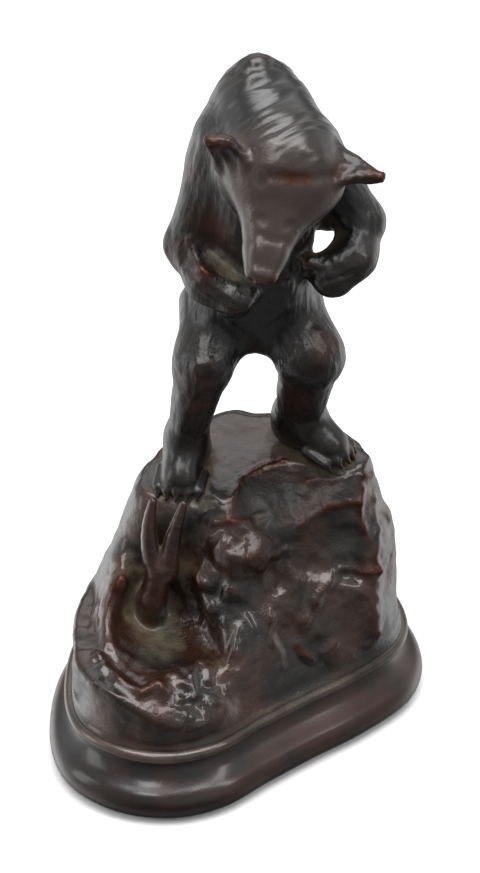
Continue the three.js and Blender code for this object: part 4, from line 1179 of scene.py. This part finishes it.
# %% Room
# A surface is a product of ramps: an axis of the way out, where the ramp starts and ends, and the light there
ROOM = {
    "ceiling": [("z", 0.0, 0.9, 0.06, 0.35)],
    "back_wall": [("y", 0.3, 0.7, 0, 1), ("z", 0.3, 0.6, 0, 1.8)],
    "front_wall": [("y", -0.3, -0.7, 0, 1), ("z", -0.4, 0.2, 0, 0.5), ("z", 0.45, 0.8, 1, 0.2),
                   ("x", -0.2, 0.6, 0.55, 1.2)],
    "side_walls": [("x_squared", 0.3, 0.85, 0, 1.4), ("y", -0.25, 0.4, 0.2, 1)],
    "left_table": [("x", -0.35, -0.75, 0, 0.8), ("z", 0.1, -0.3, 0, 1), ("y", -0.7, -0.1, 0.3, 1)],
    "near_table": [("y", 0, -0.4, 0, 0.2), ("z", -0.4, -0.7, 0, 1)],
    "table": [("z", 0.15, -0.25, 0, 1), ("z", -0.9, -0.5, 0, 1), ("y", 0, 0.4, 0, 0.8)],
}


def make_room():
    world = bpy.data.worlds.new("studio")
    world.use_nodes = True
    tree = world.node_tree
    way = add_node(tree, "ShaderNodeTexCoord", {}).outputs["Generated"]
    split = add_node(tree, "ShaderNodeSeparateXYZ", {"Vector": way}).outputs
    axes = {"x": split["X"], "y": split["Y"], "z": split["Z"]}
    axes["x_squared"] = product(tree, split["X"], split["X"])
    lights = []
    for ramps in ROOM.values():
        lights.append(product(tree, *[ranged(tree, axes[axis], *ends) for axis, *ends in ramps]))
    tree.links.new(combined(tree, "ADD", lights), tree.nodes["Background"].inputs["Strength"])
    tree.nodes["Background"].inputs["Color"].default_value = (1, 1, 1, 1)
    bpy.context.scene.world = world


make_room()

# %% Softboxes
LIT_PLACE = Vector((0, 0, 0.08))
SOFTBOXES = {
    "overhead_softbox": dict(place=(0, -0.12, 0.9), size=(0.8, 0.45), watts=8.5),
    "front_softbox": dict(place=(-0.2, -0.5, 0.8), size=(0.18, 0.18), watts=1.2),
    "left_softbox": dict(place=(-0.8, -0.2, 0.3), size=(0.25, 0.6), watts=1.5),
    "right_softbox": dict(place=(0.55, -0.3, 0.65), size=(0.12, 0.4), watts=1.2),
}


def looking_at(eye, target):
    turn = (target - eye).to_track_quat("-Z", "Y").to_matrix().to_4x4()
    return Matrix.Translation(eye) @ turn


def softbox(name, place, size, watts):
    light = bpy.data.lights.new(name, "AREA")
    light.shape = "RECTANGLE"
    light.size, light.size_y = size
    light.energy = watts
    lamp = bpy.data.objects.new(name, light)
    lamp.matrix_world = looking_at(Vector(place), LIT_PLACE)
    bpy.context.collection.objects.link(lamp)


for name, values in SOFTBOXES.items():
    softbox(name, **values)
print("lights:", sorted(SOFTBOXES), "and a room of", sorted(ROOM))

# %% [markdown]
# ## Camera
# A long lens from 0.6 m looks down at the bronze by 38 degrees, as the picture was taken. The focal length is
# known in pixels of a frame 873 pixels high, and the sensor's long side turns it into millimetres.

# %% Camera
CAMERA_ELEVATION, CAMERA_DISTANCE = np.radians(38), 0.6
FOCAL_PIXELS, FRAME_HEIGHT, SENSOR, NEAR_CLIP = 3000, 873, 36, 0.01
CAMERA_TARGET = Vector((0.7, -6, 79)) * MM
back_way = Vector((0, -np.cos(CAMERA_ELEVATION), np.sin(CAMERA_ELEVATION)))
camera = bpy.data.objects.new("camera", bpy.data.cameras.new("camera"))
camera.data.sensor_width = SENSOR
camera.data.lens = FOCAL_PIXELS * SENSOR / FRAME_HEIGHT
camera.data.clip_start = NEAR_CLIP
camera.matrix_world = looking_at(CAMERA_TARGET + CAMERA_DISTANCE * back_way, CAMERA_TARGET)
bpy.context.collection.objects.link(camera)
bpy.context.scene.camera = camera
bpy.context.scene.view_settings.view_transform = "Standard"
